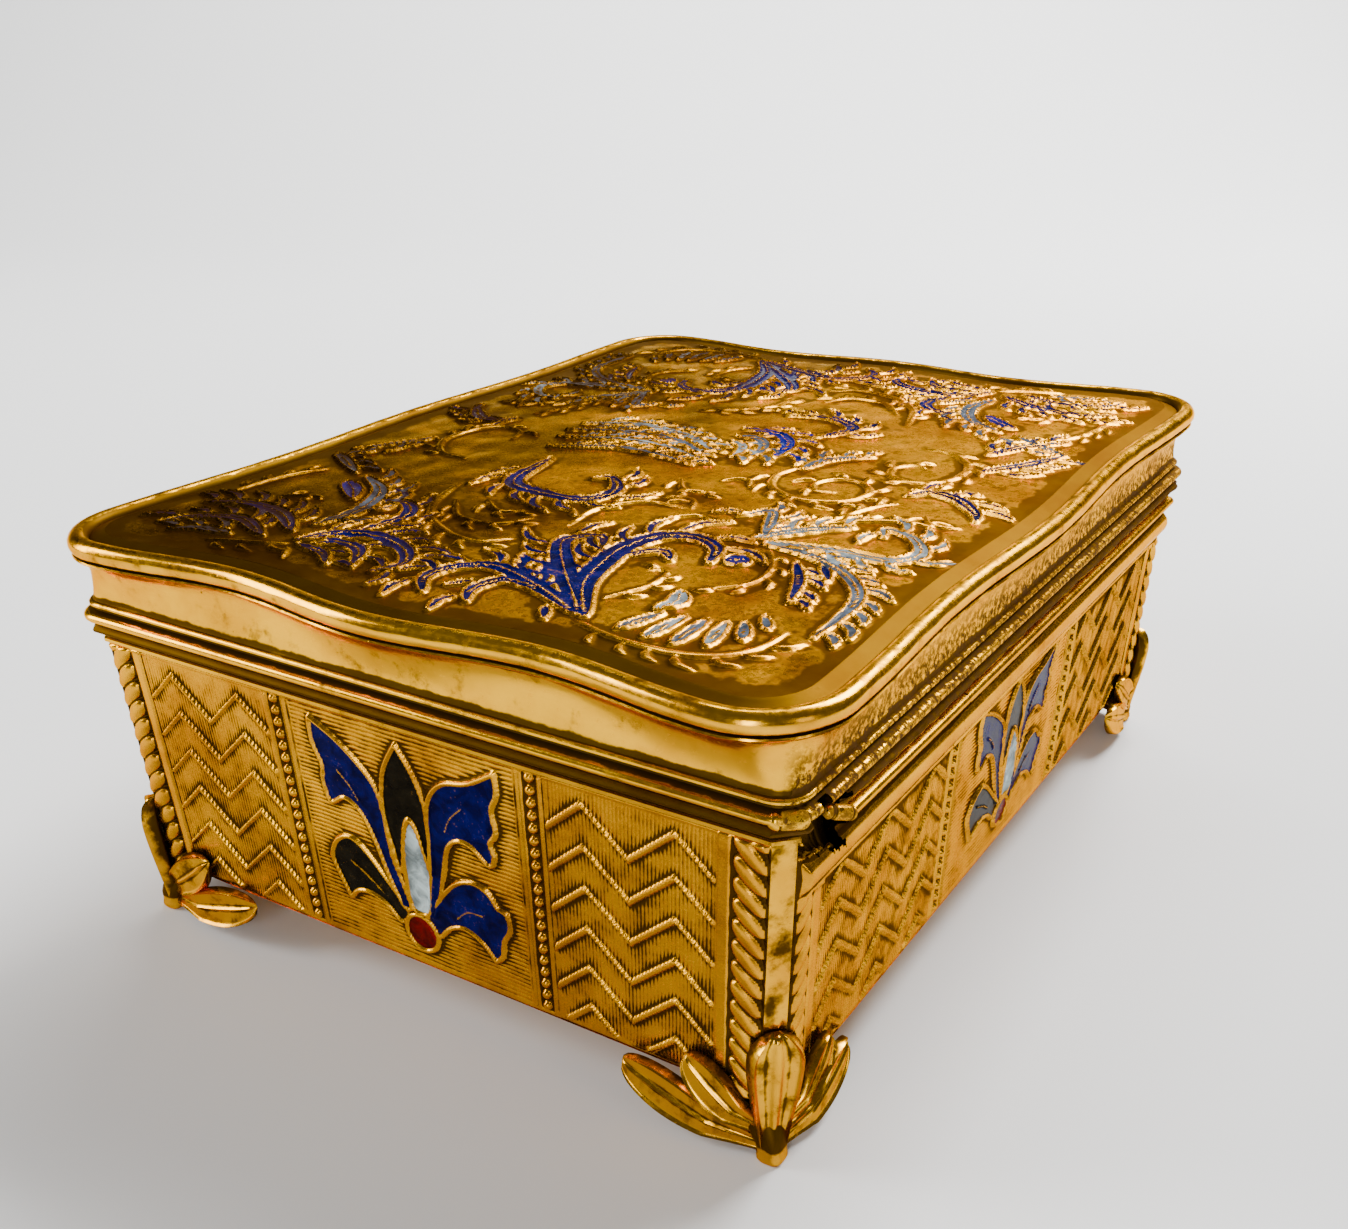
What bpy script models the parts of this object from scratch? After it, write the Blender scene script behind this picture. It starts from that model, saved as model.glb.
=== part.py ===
# Gilt bronze box with a lift-off lid, four leaf feet and relief on its walls and lid.
# Sizes are in mm and the model in metres, +Z up, origin under the middle of the box where the feet stand.
# The short front wall faces -Y, and a long wall faces +X.
import math

import bmesh
import bpy
from mathutils import Vector
from mathutils.geometry import delaunay_2d_cdt

MM = 0.001

# Body, sizes in mm at the top of the walls
WIDTH = 96.0
DEPTH = 124.4
WALL_TOP = 39.0
WALL_BOTTOM = 7.2
WALL_LEAN = 2.3
WALL_THICK = 1.8
FLOOR_THICK = 1.6
CORNER_FLAT = 1.76
LONG_BAND = 7.4
LONG_BAND_RISE = 1.8

LONG_BAND_END = 0.4
LONG_BAND_FILLET = 0.5
LONG_BAND_RAIL = 1.5
LONG_BAND_GROOVE = 0.35

# Rim that the lid stands on, and the collar inside it
RIM_RISE = 2.4
RIM_OUT = 1.5
RIM_BEVEL = 0.4
RIM_EDGE_TALL = 0.4
RIM_FILLET_OUT = 0.45
RIM_FILLET_TALL = 0.5
RIM_NECK_OUT = 0.2
RIM_NECK_RISE = 0.75
RIM_SLOPE_RISE = 1.3
SHELF_DROP = 0.6
SHELF_RISE = 1.6
COLLAR_TALL = 3.0
COLLAR_THICK = 1.5

# Lid
LID_THICK = 1.3
LID_TALL = 11.8
FRIEZE_OUT = 0.9
TORUS_OUT = 2.1
TORUS_TALL = 2.2
TORUS_ROUND = 0.3
SEAT_EDGE_OUT = 0.3
FRIEZE_NECK = 0.1
FRIEZE_FILLET = 0.4
FRIEZE_FOOT = 0.9
FRIEZE_WAVE_AT = 6.8
FRIEZE_TOP = 8.6
FRIEZE_FLARE = 0.8
LIP_OUT = 2.93
LIP_AT = 9.2
LIP_GROOVE = 0.35
LIP_GROOVE_TALL = 0.25
ROLL_OVERHANG = 0.3
ROLL_RADIUS = 1.25
ROLL_FROM = -60.0
ROLL_TO = 80.0
ROLL_STEPS = 4
ROLL_DIP = 0.05
LID_ROOF = 1.8
LID_CORNER = 9.0
LID_SHARP = 5.0
WAVE_SHORT = 1.15
WAVE_LONG = 0.55
LID_CROWN = 0.8

# Feet
FOOT_TIP = 2.6
FOOT_BLOCK = 6.4
KNOB_WIDE = 4.4
KNOB_TALL = 2.4
KNOB_IN = 0.5
LEAF_THICK = 1.3
LEAF_STANDOFF = 0.8
LEAF_START = 0.8
LONG_LEAF_FOOT = 1.3
LONG_LEAF_SAG = 1.9
LONG_LEAF_RISE = 5.6
NARROW_LEAF_FOOT = 1.8
NARROW_LEAF_SAG = 3.2
NARROW_LEAF_RISE = 9.6
CORNER_LEAF_TALL = 16.4
CORNER_LEAF_WIDE = 5.4
CORNER_LEAF_THICK = 2.0
FRONT_LEAF_REACH = 18.2
SIDE_LEAF_REACH = 14.6
LONG_LEAF_WIDE = 4.4
NARROW_LEAF_REACH = 10.4
NARROW_LEAF_WIDE = 3.4
SIDE_LEAF_STEPS = 5

# Clearances
SEAT_GAP = 0.3
COLLAR_GAP = 0.4
FOOT_GAP = 0.3

# Relief on the walls
RELIEF = 0.4
PANEL_MARGIN = 0.7
BEAD_RADIUS = 0.6
BEAD_STEP = 1.75
BEAD_STRIP_AT = 18.1
STRIP_FILLET = 0.6
STRIP_HALF = 1.45
ZIGZAG_PERIOD = 11.1
ZIGZAG_RISE = 4.5
ZIGZAG_ROW = 5.18
ZIGZAG_WIDE = 0.9
ZIGZAG_END = 0.35
FLAT_FILLET = 1.4
FILLET_SLOPE = 0.25
FILLET_END = 0.35
ROPE_END = 0.3
ROPE_WIDE = 3.4
ROPE_STEP = 2.45
ROPE_SLANT = 0.8
FLOWER_BASE = 12.0
FLOWER_SHIFT = -1.2
FLOWER_TALL = 24.6
PETAL_EDGE = 0.35
SEED_RADIUS = 2.9
SEED_SIDES = 10

# Relief on the lid
STROKE_WIDE = 1.2
STROKE_STEP = 4.4
CROWN_STEP = 13.0
CROWN_EDGE = 4.0
FIELD_IN = 1.2
FIELD_LOW = 0.3
DRAWING_CLEAR = 2.2

# Broken place at the front right corner, in mm from the corner along the long wall
BREAK_FROM = 1.9
BREAK_TO = 7.6
BREAK_LOW = 4.2
BREAK_DEEP = 1.5
NOTCH_AT = 3.2
NOTCH_WIDE = 1.1
NOTCH_DEEP = 1.0
CUTTER_OVER = 1.0

SHORT_STEPS = 10
LONG_STEPS = 12
CORNER_STEPS = 3

HALF_W = WIDTH / 2
HALF_D = DEPTH / 2
SEAT = WALL_TOP + RIM_RISE
LID_BOTTOM = SEAT + SEAT_GAP
LID_INNER = FRIEZE_OUT - LID_THICK
COLLAR_OUTER = LID_INNER - COLLAR_GAP
COLLAR_INNER = COLLAR_OUTER - COLLAR_THICK
BASE_HALF_W = HALF_W - WALL_LEAN
BASE_HALF_D = HALF_D - WALL_LEAN


# Scene and materials

def clear_scene():
    for old in list(bpy.data.objects):
        bpy.data.objects.remove(old, do_unlink=True)


def gilt(name, colour, roughness):
    material = bpy.data.materials.new(name)
    material.use_nodes = True
    shader = material.node_tree.nodes["Principled BSDF"]
    shader.inputs["Base Color"].default_value = (*colour, 1.0)
    shader.inputs["Metallic"].default_value = 1.0
    shader.inputs["Roughness"].default_value = roughness
    return material


def add_object(name, bm, material):
    bmesh.ops.remove_doubles(bm, verts=bm.verts, dist=2e-6)
    bmesh.ops.dissolve_degenerate(bm, edges=bm.edges, dist=1e-6)
    bmesh.ops.triangulate(bm, faces=bm.faces)
    bmesh.ops.recalc_face_normals(bm, faces=bm.faces)
    mesh = bpy.data.meshes.new(name)
    bm.to_mesh(mesh)
    bm.free()
    mesh.set_sharp_from_angle(angle=math.radians(35))
    mesh.materials.append(material)
    obj = bpy.data.objects.new(name, mesh)
    bpy.context.scene.collection.objects.link(obj)
    return obj


def combine(obj, other, operation):
    other.hide_render = True
    other.display_type = "WIRE"
    modifier = obj.modifiers.new(operation.title() + " " + other.name, "BOOLEAN")
    modifier.object = other
    modifier.operation = operation
    modifier.solver = "EXACT"


# Outlines and rings

def lean_at(z):
    return WALL_LEAN * (WALL_TOP - z) / (WALL_TOP - WALL_BOTTOM)


def flat_corner_outline(z, out=0.0, lean=0.0):
    """Eight points of the walls' outline, counter-clockwise from the front wall's left end."""
    side_x = (HALF_W - CORNER_FLAT) * (1 - lean / HALF_W)
    side_y = (HALF_D - CORNER_FLAT) * (1 - lean / HALF_D)
    grow = out * (math.sqrt(2) - 1)
    x, y = HALF_W - lean + out, HALF_D - lean + out
    corner_x, corner_y = side_x + grow, side_y + grow
    return [
        (-corner_x, -y, z), (corner_x, -y, z), (x, -corner_y, z), (x, corner_y, z),
        (corner_x, y, z), (-corner_x, y, z), (-x, corner_y, z), (-x, -corner_y, z),
    ]


def waved_outline(z, out, corner, wave):
    """The lid's outline: each side bulges in its middle and draws in at its quarters. wave is a share."""
    points = []
    sides = ((HALF_W + out, HALF_D + out, SHORT_STEPS, WAVE_SHORT * wave),
             (HALF_D + out, HALF_W + out, LONG_STEPS, WAVE_LONG * wave)) * 2
    for turn, (along, away, steps, depth) in enumerate(sides):
        reach = along - corner
        end_depth = depth * math.cos(2 * math.pi * reach / along)
        run = []
        for step in range(steps):
            t = -reach + 2 * reach * step / steps
            run.append((t, -away - depth * math.cos(2 * math.pi * t / along)))
        for step in range(CORNER_STEPS):
            angle = -math.pi / 2 + math.pi / 2 * step / CORNER_STEPS
            radius = corner + end_depth
            run.append((reach + radius * math.cos(angle), -away + corner + radius * math.sin(angle)))
        quarter = turn * math.pi / 2
        cos, sin = round(math.cos(quarter)), round(math.sin(quarter))
        points += [(x * cos - y * sin, x * sin + y * cos, z) for x, y in run]
    return points


def add_ring(bm, points):
    return [bm.verts.new(Vector(point) * MM) for point in points]


def bridge(bm, lower, upper):
    count = len(lower)
    for i in range(count):
        j = (i + 1) % count
        bm.faces.new((lower[i], lower[j], upper[j], upper[i]))


def add_rings(bm, outlines):
    rings = [add_ring(bm, outline) for outline in outlines]
    for lower, upper in zip(rings, rings[1:]):
        bridge(bm, lower, upper)
    return rings


# Relief: flat loops and lines with a height each, triangulated together

class Relief:
    def __init__(self, border):
        self.points = list(border)
        self.heights = [0.0] * len(border)
        count = len(border)
        self.edges = [(i, (i + 1) % count) for i in range(count)]

    def add(self, points, height, closed):
        first = len(self.points)
        self.points += points
        self.heights += [height] * len(points)
        last = len(self.points) - 1
        self.edges += [(i, i + 1) for i in range(first, last)]
        if closed:
            self.edges.append((last, first))

    def bump(self, u, v, radius, height):
        """A bead: a square foot under one raised point."""
        foot = [(u - radius, v), (u, v - radius), (u + radius, v), (u, v + radius)]
        self.add(foot, 0.0, True)
        self.add([(u, v)], height, False)

    def strip(self, u, wide, low, high):
        """An upright strip with a crest along its middle."""
        half = wide / 2
        self.add([(u - half, low), (u + half, low), (u + half, high), (u - half, high)], 0.0, True)
        self.add([(u, low + half), (u, high - half)], RELIEF, False)

    def lobe(self, u, v, side):
        """One turn of a rope: a slanting foot under a slanting crest."""
        half, slant, thick = ROPE_WIDE / 2, ROPE_SLANT, ROPE_STEP * 0.34
        near, far = u - side * half, u + side * half
        self.add([(near, v + slant - thick), (far, v - slant - thick), (far, v - slant + thick),
                  (near, v + slant + thick)], 0.0, True)
        near, far = u - side * half * 0.6, u + side * half * 0.6
        self.add([(near, v + slant * 0.6), (far, v - slant * 0.6)], RELIEF, False)

    def ridge(self, line, wide, height):
        """A rounded stroke along a line: a foot on both sides and a crest between them."""
        left, right = beside(line, wide / 2), beside(line, -wide / 2)
        tip_a = toward(line[0], line[1], -wide / 2)
        tip_b = toward(line[-1], line[-2], -wide / 2)
        self.add([tip_a] + right + [tip_b] + left[::-1], 0.0, True)
        self.add(line, height, False)

    def slab(self, foot, inset, height):
        """A raised flat field with sloping sides."""
        self.add(foot, 0.0, True)
        self.add(inset_loop(foot, inset), height, True)

    def faces_into(self, bm, place):
        """Adds the relief's triangles to bm. place turns (u, v, height) into a point in mm."""
        flat = [Vector(point) for point in self.points]
        verts, _, faces, origins, _, _ = delaunay_2d_cdt(flat, self.edges, [], 1, 1e-6)
        made = []
        for vert, origin in zip(verts, origins):
            height = self.heights[origin[0]] if origin else 0.0
            made.append(bm.verts.new(Vector(place(vert.x, vert.y, height)) * MM))
        for face in faces:
            bm.faces.new([made[i] for i in face])


def toward(start, end, distance):
    direction = (Vector(end) - Vector(start)).normalized()
    return tuple(Vector(start) + direction * distance)


def beside(line, distance):
    """The line moved sideways by a distance, to the left of its direction."""
    moved = []
    for i, point in enumerate(line):
        before = Vector(line[max(i - 1, 0)])
        after = Vector(line[min(i + 1, len(line) - 1)])
        run = (after - before).normalized()
        moved.append((point[0] - run.y * distance, point[1] + run.x * distance))
    return moved


def inset_loop(loop, distance):
    """A closed counter-clockwise loop with each corner moved inward along its bisector."""
    moved = []
    count = len(loop)
    for i in range(count):
        here = Vector(loop[i])
        ahead = (Vector(loop[(i + 1) % count]) - here).normalized()
        behind = (here - Vector(loop[i - 1])).normalized()
        inward = Vector((-ahead.y - behind.y, ahead.x + behind.x))
        stretch = 2 * distance / max(inward.length_squared, 1.1)
        moved.append((here.x + inward.x * stretch, here.y + inward.y * stretch))
    return moved


def smooth_line(points, step):
    """Points about one step apart along a Catmull-Rom curve through the given ones."""
    path = [Vector(point) for point in points]
    path = [2 * path[0] - path[1]] + path + [2 * path[-1] - path[-2]]
    line = []
    for i in range(1, len(path) - 2):
        a, b, c, d = path[i - 1:i + 3]
        pieces = max(1, round((c - b).length / step))
        for k in range(pieces):
            t = k / pieces
            line.append(tuple(0.5 * (2 * b + (c - a) * t + (2 * a - 5 * b + 4 * c - d) * t ** 2
                                     + (3 * b - a - 3 * c + d) * t ** 3)))
    line.append(tuple(path[-2]))
    return line


# Wall relief

def mirrored(points):
    return [(-u, v) for u, v in points][::-1]


def zigzag_line(first, last, peak, top):
    """One zigzag row between two places along the wall, with a bend at each peak and valley."""
    half = ZIGZAG_PERIOD / 2
    bends = [peak + half * k for k in range(-12, 13)]
    places = [first] + [u for u in bends if first + 0.6 < u < last - 0.6] + [last]
    line = []
    for u in places:
        phase = abs((u - peak) / ZIGZAG_PERIOD) % 1.0
        line.append((u, top - ZIGZAG_RISE * (1 - abs(1 - 2 * phase))))
    return line


def add_zigzags(relief, first, last, peak, tops):
    for top in tops:
        line = zigzag_line(first, last, peak, top)
        for side in (line, mirrored(line)):
            low = [(u, v - ZIGZAG_WIDE / 2) for u, v in side]
            high = [(u, v + ZIGZAG_WIDE / 2) for u, v in side]
            relief.add(low + high[::-1], 0.0, True)
            tips = [toward(side[0], side[1], ZIGZAG_WIDE / 3)] + side[1:-1]
            relief.add(tips + [toward(side[-1], side[-2], ZIGZAG_WIDE / 3)], RELIEF, False)


def add_strips(relief, half, low, high, rich):
    """Rope, flat fillet and bead strip, on both halves of a wall. half is where the rope ends.
    A wall that isn't rich has plain strips in their place."""
    rope_at = half - ROPE_WIDE / 2 - ROPE_END
    fillet_at = rope_at - ROPE_WIDE / 2 - FLAT_FILLET / 2 - FILLET_END
    for side in (-1, 1):
        u, wide = side * fillet_at, FLAT_FILLET / 2
        relief.slab([(u - wide, low), (u + wide, low), (u + wide, high), (u - wide, high)],
                    FILLET_SLOPE, RELIEF)
        for edge in (-STRIP_HALF, STRIP_HALF):
            relief.strip(side * (BEAD_STRIP_AT + edge), STRIP_FILLET, low, high)
        if not rich:
            relief.strip(side * rope_at, ROPE_WIDE, low, high)
            continue
        for k in range(int((high - low) / BEAD_STEP)):
            relief.bump(side * BEAD_STRIP_AT, low + BEAD_STEP * (k + 0.5), BEAD_RADIUS, RELIEF * 1.3)
        for k in range(int((high - low) / ROPE_STEP)):
            relief.lobe(side * rope_at, high - ROPE_STEP * (k + 0.5), side)
    return fillet_at - FLAT_FILLET / 2


def flower_cells():
    """Outlines of the flower's cells, from its axis and its base, at the size that they are drawn."""
    pearl = [(0, 14.9), (-1.3, 12.6), (-1.9, 9.5), (-1.6, 6.0), (-0.8, 3.35),
             (0.8, 3.35), (1.6, 6.0), (1.9, 9.5), (1.3, 12.6)]
    crest = [(0, 24.6), (-1.7, 22.0), (-2.8, 19.4), (-3.1, 16.5), (-2.6, 13.2), (-1.6, 14.4),
             (0, 16.2), (1.6, 14.4), (2.6, 13.2), (3.1, 16.5), (2.8, 19.4), (1.7, 22.0)]
    upper = [(13.5, 24.6), (9.8, 23.0), (6.3, 21.0), (4.5, 18.8), (3.8, 16.0), (3.4, 12.5), (2.6, 8.0),
             (2.3, 5.3), (3.1, 5.0), (4.2, 8.0), (5.2, 11.0), (6.5, 13.9), (8.0, 15.0), (9.9, 14.6),
             (11.8, 13.2), (12.7, 16.0), (12.6, 18.8), (13.3, 21.6)]
    lower = [(2.5, 3.2), (3.4, 0.3), (5.2, 2.4), (7.3, 3.1), (9.6, 2.0), (11.4, 0.2), (12.6, 3.2),
             (13.3, 5.2), (12.6, 7.6), (9.9, 9.8), (7.6, 9.2), (5.4, 7.2)]
    return [pearl, crest, upper, mirrored(upper), lower, mirrored(lower)]


def add_flower(relief, top):
    """The flower, its height set by the room up to the top of its panel."""
    drawn_tall = max(v for cell in flower_cells() for _, v in cell)
    room = top - PANEL_MARGIN - FLOWER_BASE
    squeeze = min(FLOWER_TALL, room) / drawn_tall
    for cell in flower_cells():
        outline = [(u + FLOWER_SHIFT, FLOWER_BASE + v * squeeze) for u, v in cell]
        relief.slab(outline, PETAL_EDGE, RELIEF)
    turns = [math.tau * k / SEED_SIDES for k in range(SEED_SIDES)]
    seed = [(FLOWER_SHIFT + SEED_RADIUS * math.cos(turn),
             FLOWER_BASE + SEED_RADIUS * math.sin(turn) * squeeze) for turn in turns]
    relief.slab(seed, PETAL_EDGE, RELIEF * 1.3)


def add_wall(bm, turn, rich):
    """One wall with its relief. turn counts quarter turns from the front wall."""
    long_side = turn % 2 == 1
    along, away = (HALF_D, HALF_W) if long_side else (HALF_W, HALF_D)
    cos, sin = round(math.cos(turn * math.pi / 2)), round(math.sin(turn * math.pi / 2))
    edge = along - CORNER_FLAT
    panel_top = WALL_TOP - LONG_BAND if long_side else WALL_TOP
    border = [(-edge, WALL_BOTTOM), (edge, WALL_BOTTOM), (edge, WALL_TOP), (-edge, WALL_TOP)]
    relief = Relief(border)
    low, high = WALL_BOTTOM + PANEL_MARGIN, panel_top - PANEL_MARGIN
    panel_end = add_strips(relief, edge - PANEL_MARGIN, low, high, rich)
    panel_start = BEAD_STRIP_AT + STRIP_HALF + STRIP_FILLET / 2
    first, last = panel_start + ZIGZAG_END, panel_end - ZIGZAG_END
    peaks = round((last - first) / ZIGZAG_PERIOD)
    peak = (first + last) / 2 - ZIGZAG_PERIOD * (peaks - 1) / 2
    highest = high - ZIGZAG_WIDE
    rows = int((highest - low - ZIGZAG_RISE) / ZIGZAG_ROW) + 1
    add_zigzags(relief, first, last, peak, [highest - ZIGZAG_ROW * row for row in range(rows)])
    add_flower(relief, panel_top)
    if long_side:
        end = edge - LONG_BAND_END
        low, high = panel_top - LONG_BAND * 0.03, WALL_TOP - LONG_BAND * 0.04
        for share, height in ((0.0, 0.0), (0.07, LONG_BAND_FILLET), (0.3, LONG_BAND_RAIL),
                              (0.52, LONG_BAND_RAIL), (0.7, LONG_BAND_GROOVE),
                              (0.84, LONG_BAND_RISE), (0.94, LONG_BAND_RISE), (1.0, 0.0)):
            v, far = low + (high - low) * share, end - height * 0.3
            relief.add([(-far, v), (far, v)], height, False)
        for side in (-end, end):
            relief.add([(side, low), (side, high)], 0.0, False)

    def place(u, v, height):
        lean = lean_at(v)
        x, y = u * (1 - lean / along), -(away - lean) - height
        return x * cos - y * sin, x * sin + y * cos, v

    relief.faces_into(bm, place)


def add_corner_flats(bm, lower, upper):
    for i in (1, 3, 5, 7):
        j = (i + 1) % 8
        bm.faces.new((lower[i], lower[j], upper[j], upper[i]))


def build_body(material):
    bm = bmesh.new()
    foot_ring = add_ring(bm, flat_corner_outline(WALL_BOTTOM, 0.0, WALL_LEAN))
    bm.faces.new(foot_ring[::-1])
    for turn in range(4):
        add_wall(bm, turn, turn in (0, 1))
    bevel = RIM_OUT - RIM_BEVEL
    inner_floor = WALL_BOTTOM + FLOOR_THICK
    shelf = WALL_TOP - SHELF_DROP
    fillet_low = WALL_TOP + RIM_FILLET_TALL * 0.2
    rings = add_rings(bm, [
        flat_corner_outline(WALL_TOP),
        flat_corner_outline(fillet_low, RIM_FILLET_OUT),
        flat_corner_outline(fillet_low + RIM_FILLET_TALL, RIM_FILLET_OUT),
        flat_corner_outline(WALL_TOP + RIM_NECK_RISE, RIM_NECK_OUT),
        flat_corner_outline(WALL_TOP + RIM_SLOPE_RISE, bevel),
        flat_corner_outline(SEAT - RIM_BEVEL - RIM_EDGE_TALL, RIM_OUT),
        flat_corner_outline(SEAT - RIM_BEVEL, RIM_OUT),
        flat_corner_outline(SEAT, bevel),
        flat_corner_outline(SEAT, COLLAR_OUTER),
        flat_corner_outline(SEAT + COLLAR_TALL, COLLAR_OUTER),
        flat_corner_outline(SEAT + COLLAR_TALL, COLLAR_INNER),
        flat_corner_outline(WALL_TOP + SHELF_RISE, COLLAR_INNER),
        flat_corner_outline(shelf, -WALL_THICK, lean_at(shelf)),
        flat_corner_outline(inner_floor, -WALL_THICK, lean_at(inner_floor)),
    ])
    bm.faces.new(rings[-1])
    add_corner_flats(bm, foot_ring, rings[0])
    return add_object("body", bm, material)


# Lid

def half_turned(lines):
    return [[(-x, -y) for x, y in line] for line in lines]


def corner_scrolls():
    """The large C scroll of the right front corner, with its leaves. Places are in mm on the lid."""
    return [
        [(20.5, -57), (16, -51), (13.8, -44), (14, -37), (17, -32.3), (21, -31.6), (24, -34.5)],
        [(22.5, -58.5), (27, -60.6), (33, -61), (38, -59), (41.3, -54), (41.2, -48.5)],
        [(27.5, -31), (31, -33.5), (33, -38.5), (31.5, -43), (28, -44.5)],
        [(31.5, -29.5), (37, -29.8), (42, -34), (45, -40.5), (45, -50)],
        [(18, -56.5), (11.5, -52.5), (5, -50.3), (0, -52), (-1.2, -57), (2, -61)],
        [(15, -53), (10, -48), (7, -43), (7.2, -39), (11, -37.5)],
        [(27, -27.5), (25.8, -22.5), (22.8, -18.6), (19.5, -19.6), (19, -23)],
        [(29, -27.3), (34, -26), (40.5, -26), (44, -22.5), (42.3, -18.5), (38, -17.2)],
        [(28.8, -23.5), (30, -16), (33, -8), (34.8, -2), (39, -0.5), (43, -3.5), (45, -8)],
        [(19.5, -53), (17.5, -47), (17.8, -41), (20.5, -38)],
        [(30, -48), (30.5, -53), (34.5, -56.5), (38.3, -54)],
    ]


def corner_leaves():
    """The acanthus leaves of the left front corner."""
    return [
        [(-34, -60.5), (-28.5, -58.8), (-24.5, -55), (-20, -50.6), (-13, -49.3), (-7.5, -52), (-5.3, -57)],
        [(-26.5, -53), (-25.2, -47), (-25, -41), (-28, -35), (-34, -29.5), (-41, -24)],
        [(-32, -57.5), (-37.5, -55.8), (-42, -52.5), (-44.3, -48)],
        [(-20.5, -54.5), (-15, -53.5), (-11.5, -57)],
        [(-22.5, -47), (-21.5, -42), (-24, -38)],
        [(-29, -45), (-30.5, -40), (-34.5, -36.5), (-40, -35)],
        [(-34.5, -50.5), (-38.5, -47), (-41, -42)],
    ]


def middle_scrolls():
    """Lighter scrolls between the corners and the winged spray in the middle."""
    return [
        [(17, 2), (15.4, -4), (17.6, -9.4), (23, -11.8), (28, -9.5), (29.6, -4.5), (26.5, -1)],
        [(27, 18.5), (32, 17.5), (35.6, 11.5), (35, 5), (31, 1.8), (27.5, 4.5)],
        [(19, 4), (21.5, 8.5), (25, 10.5)],
        [(-22, -30), (-17.5, -37.5), (-12, -42.8), (-5.5, -44.8), (0, -43)],
        [(-16, -33.5), (-11, -39), (-5, -39), (-2.5, -34.5)],
        [(3, -35), (2.6, -28.5), (6, -23), (12, -22)],
        [(-25, 5), (-15, 7), (-5, 4), (3, 0)],
        [(-21, -2.5), (-11, -1), (-2, -4), (4, -9.5)],
        [(-17.5, -9), (-14.5, -17), (-10, -24), (-4, -27), (0, -23.5), (-0.5, -18.5), (-4, -16)],
        [(-4, 11), (3, 13), (8.6, 10), (10.6, 4), (10, -1)],
    ]


def crown_at(x, y):
    """Height that the lid's field rises by: none along its edge and LID_CROWN in its middle."""
    across, along = x / (HALF_W - CROWN_EDGE), y / (HALF_D - CROWN_EDGE)
    return LID_CROWN * max(0.0, 1 - across ** 2) * max(0.0, 1 - along ** 2)


def on_field(lines):
    """The drawing's lines, sized so that its outermost strokes stay DRAWING_CLEAR inside the field's edge."""
    edge = FIELD_IN + DRAWING_CLEAR + STROKE_WIDE / 2
    across = (HALF_W - edge) / max(abs(x) for line in lines for x, _ in line)
    along = (HALF_D - edge) / max(abs(y) for line in lines for _, y in line)
    return [[(x * across, y * along) for x, y in line] for line in lines]


def add_field(bm, border, height):
    """The lid's top, inside the rolled edge, with its scrolls."""
    relief = Relief([(x, y) for x, y, _ in border])
    strokes = []
    for lines in (corner_scrolls(), corner_leaves()):
        strokes += lines + half_turned(lines)
    strokes += middle_scrolls()
    strokes = [smooth_line(line, STROKE_STEP) for line in on_field(strokes)]
    for line in strokes:
        relief.ridge(line, STROKE_WIDE, RELIEF)
    taken = [Vector(point) for line in strokes for point in line]
    columns, rows = int(WIDTH / CROWN_STEP), int(DEPTH / CROWN_STEP)
    for i in range(1, columns):
        for j in range(1, rows):
            spot = Vector((WIDTH * (i / columns - 0.5), DEPTH * (j / rows - 0.5)))
            if min((spot - point).length for point in taken) > STROKE_WIDE * 1.6:
                relief.add([tuple(spot)], 0.0, False)
    relief.faces_into(bm, lambda x, y, rise: (x, y, height + crown_at(x, y) + rise))


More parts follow.
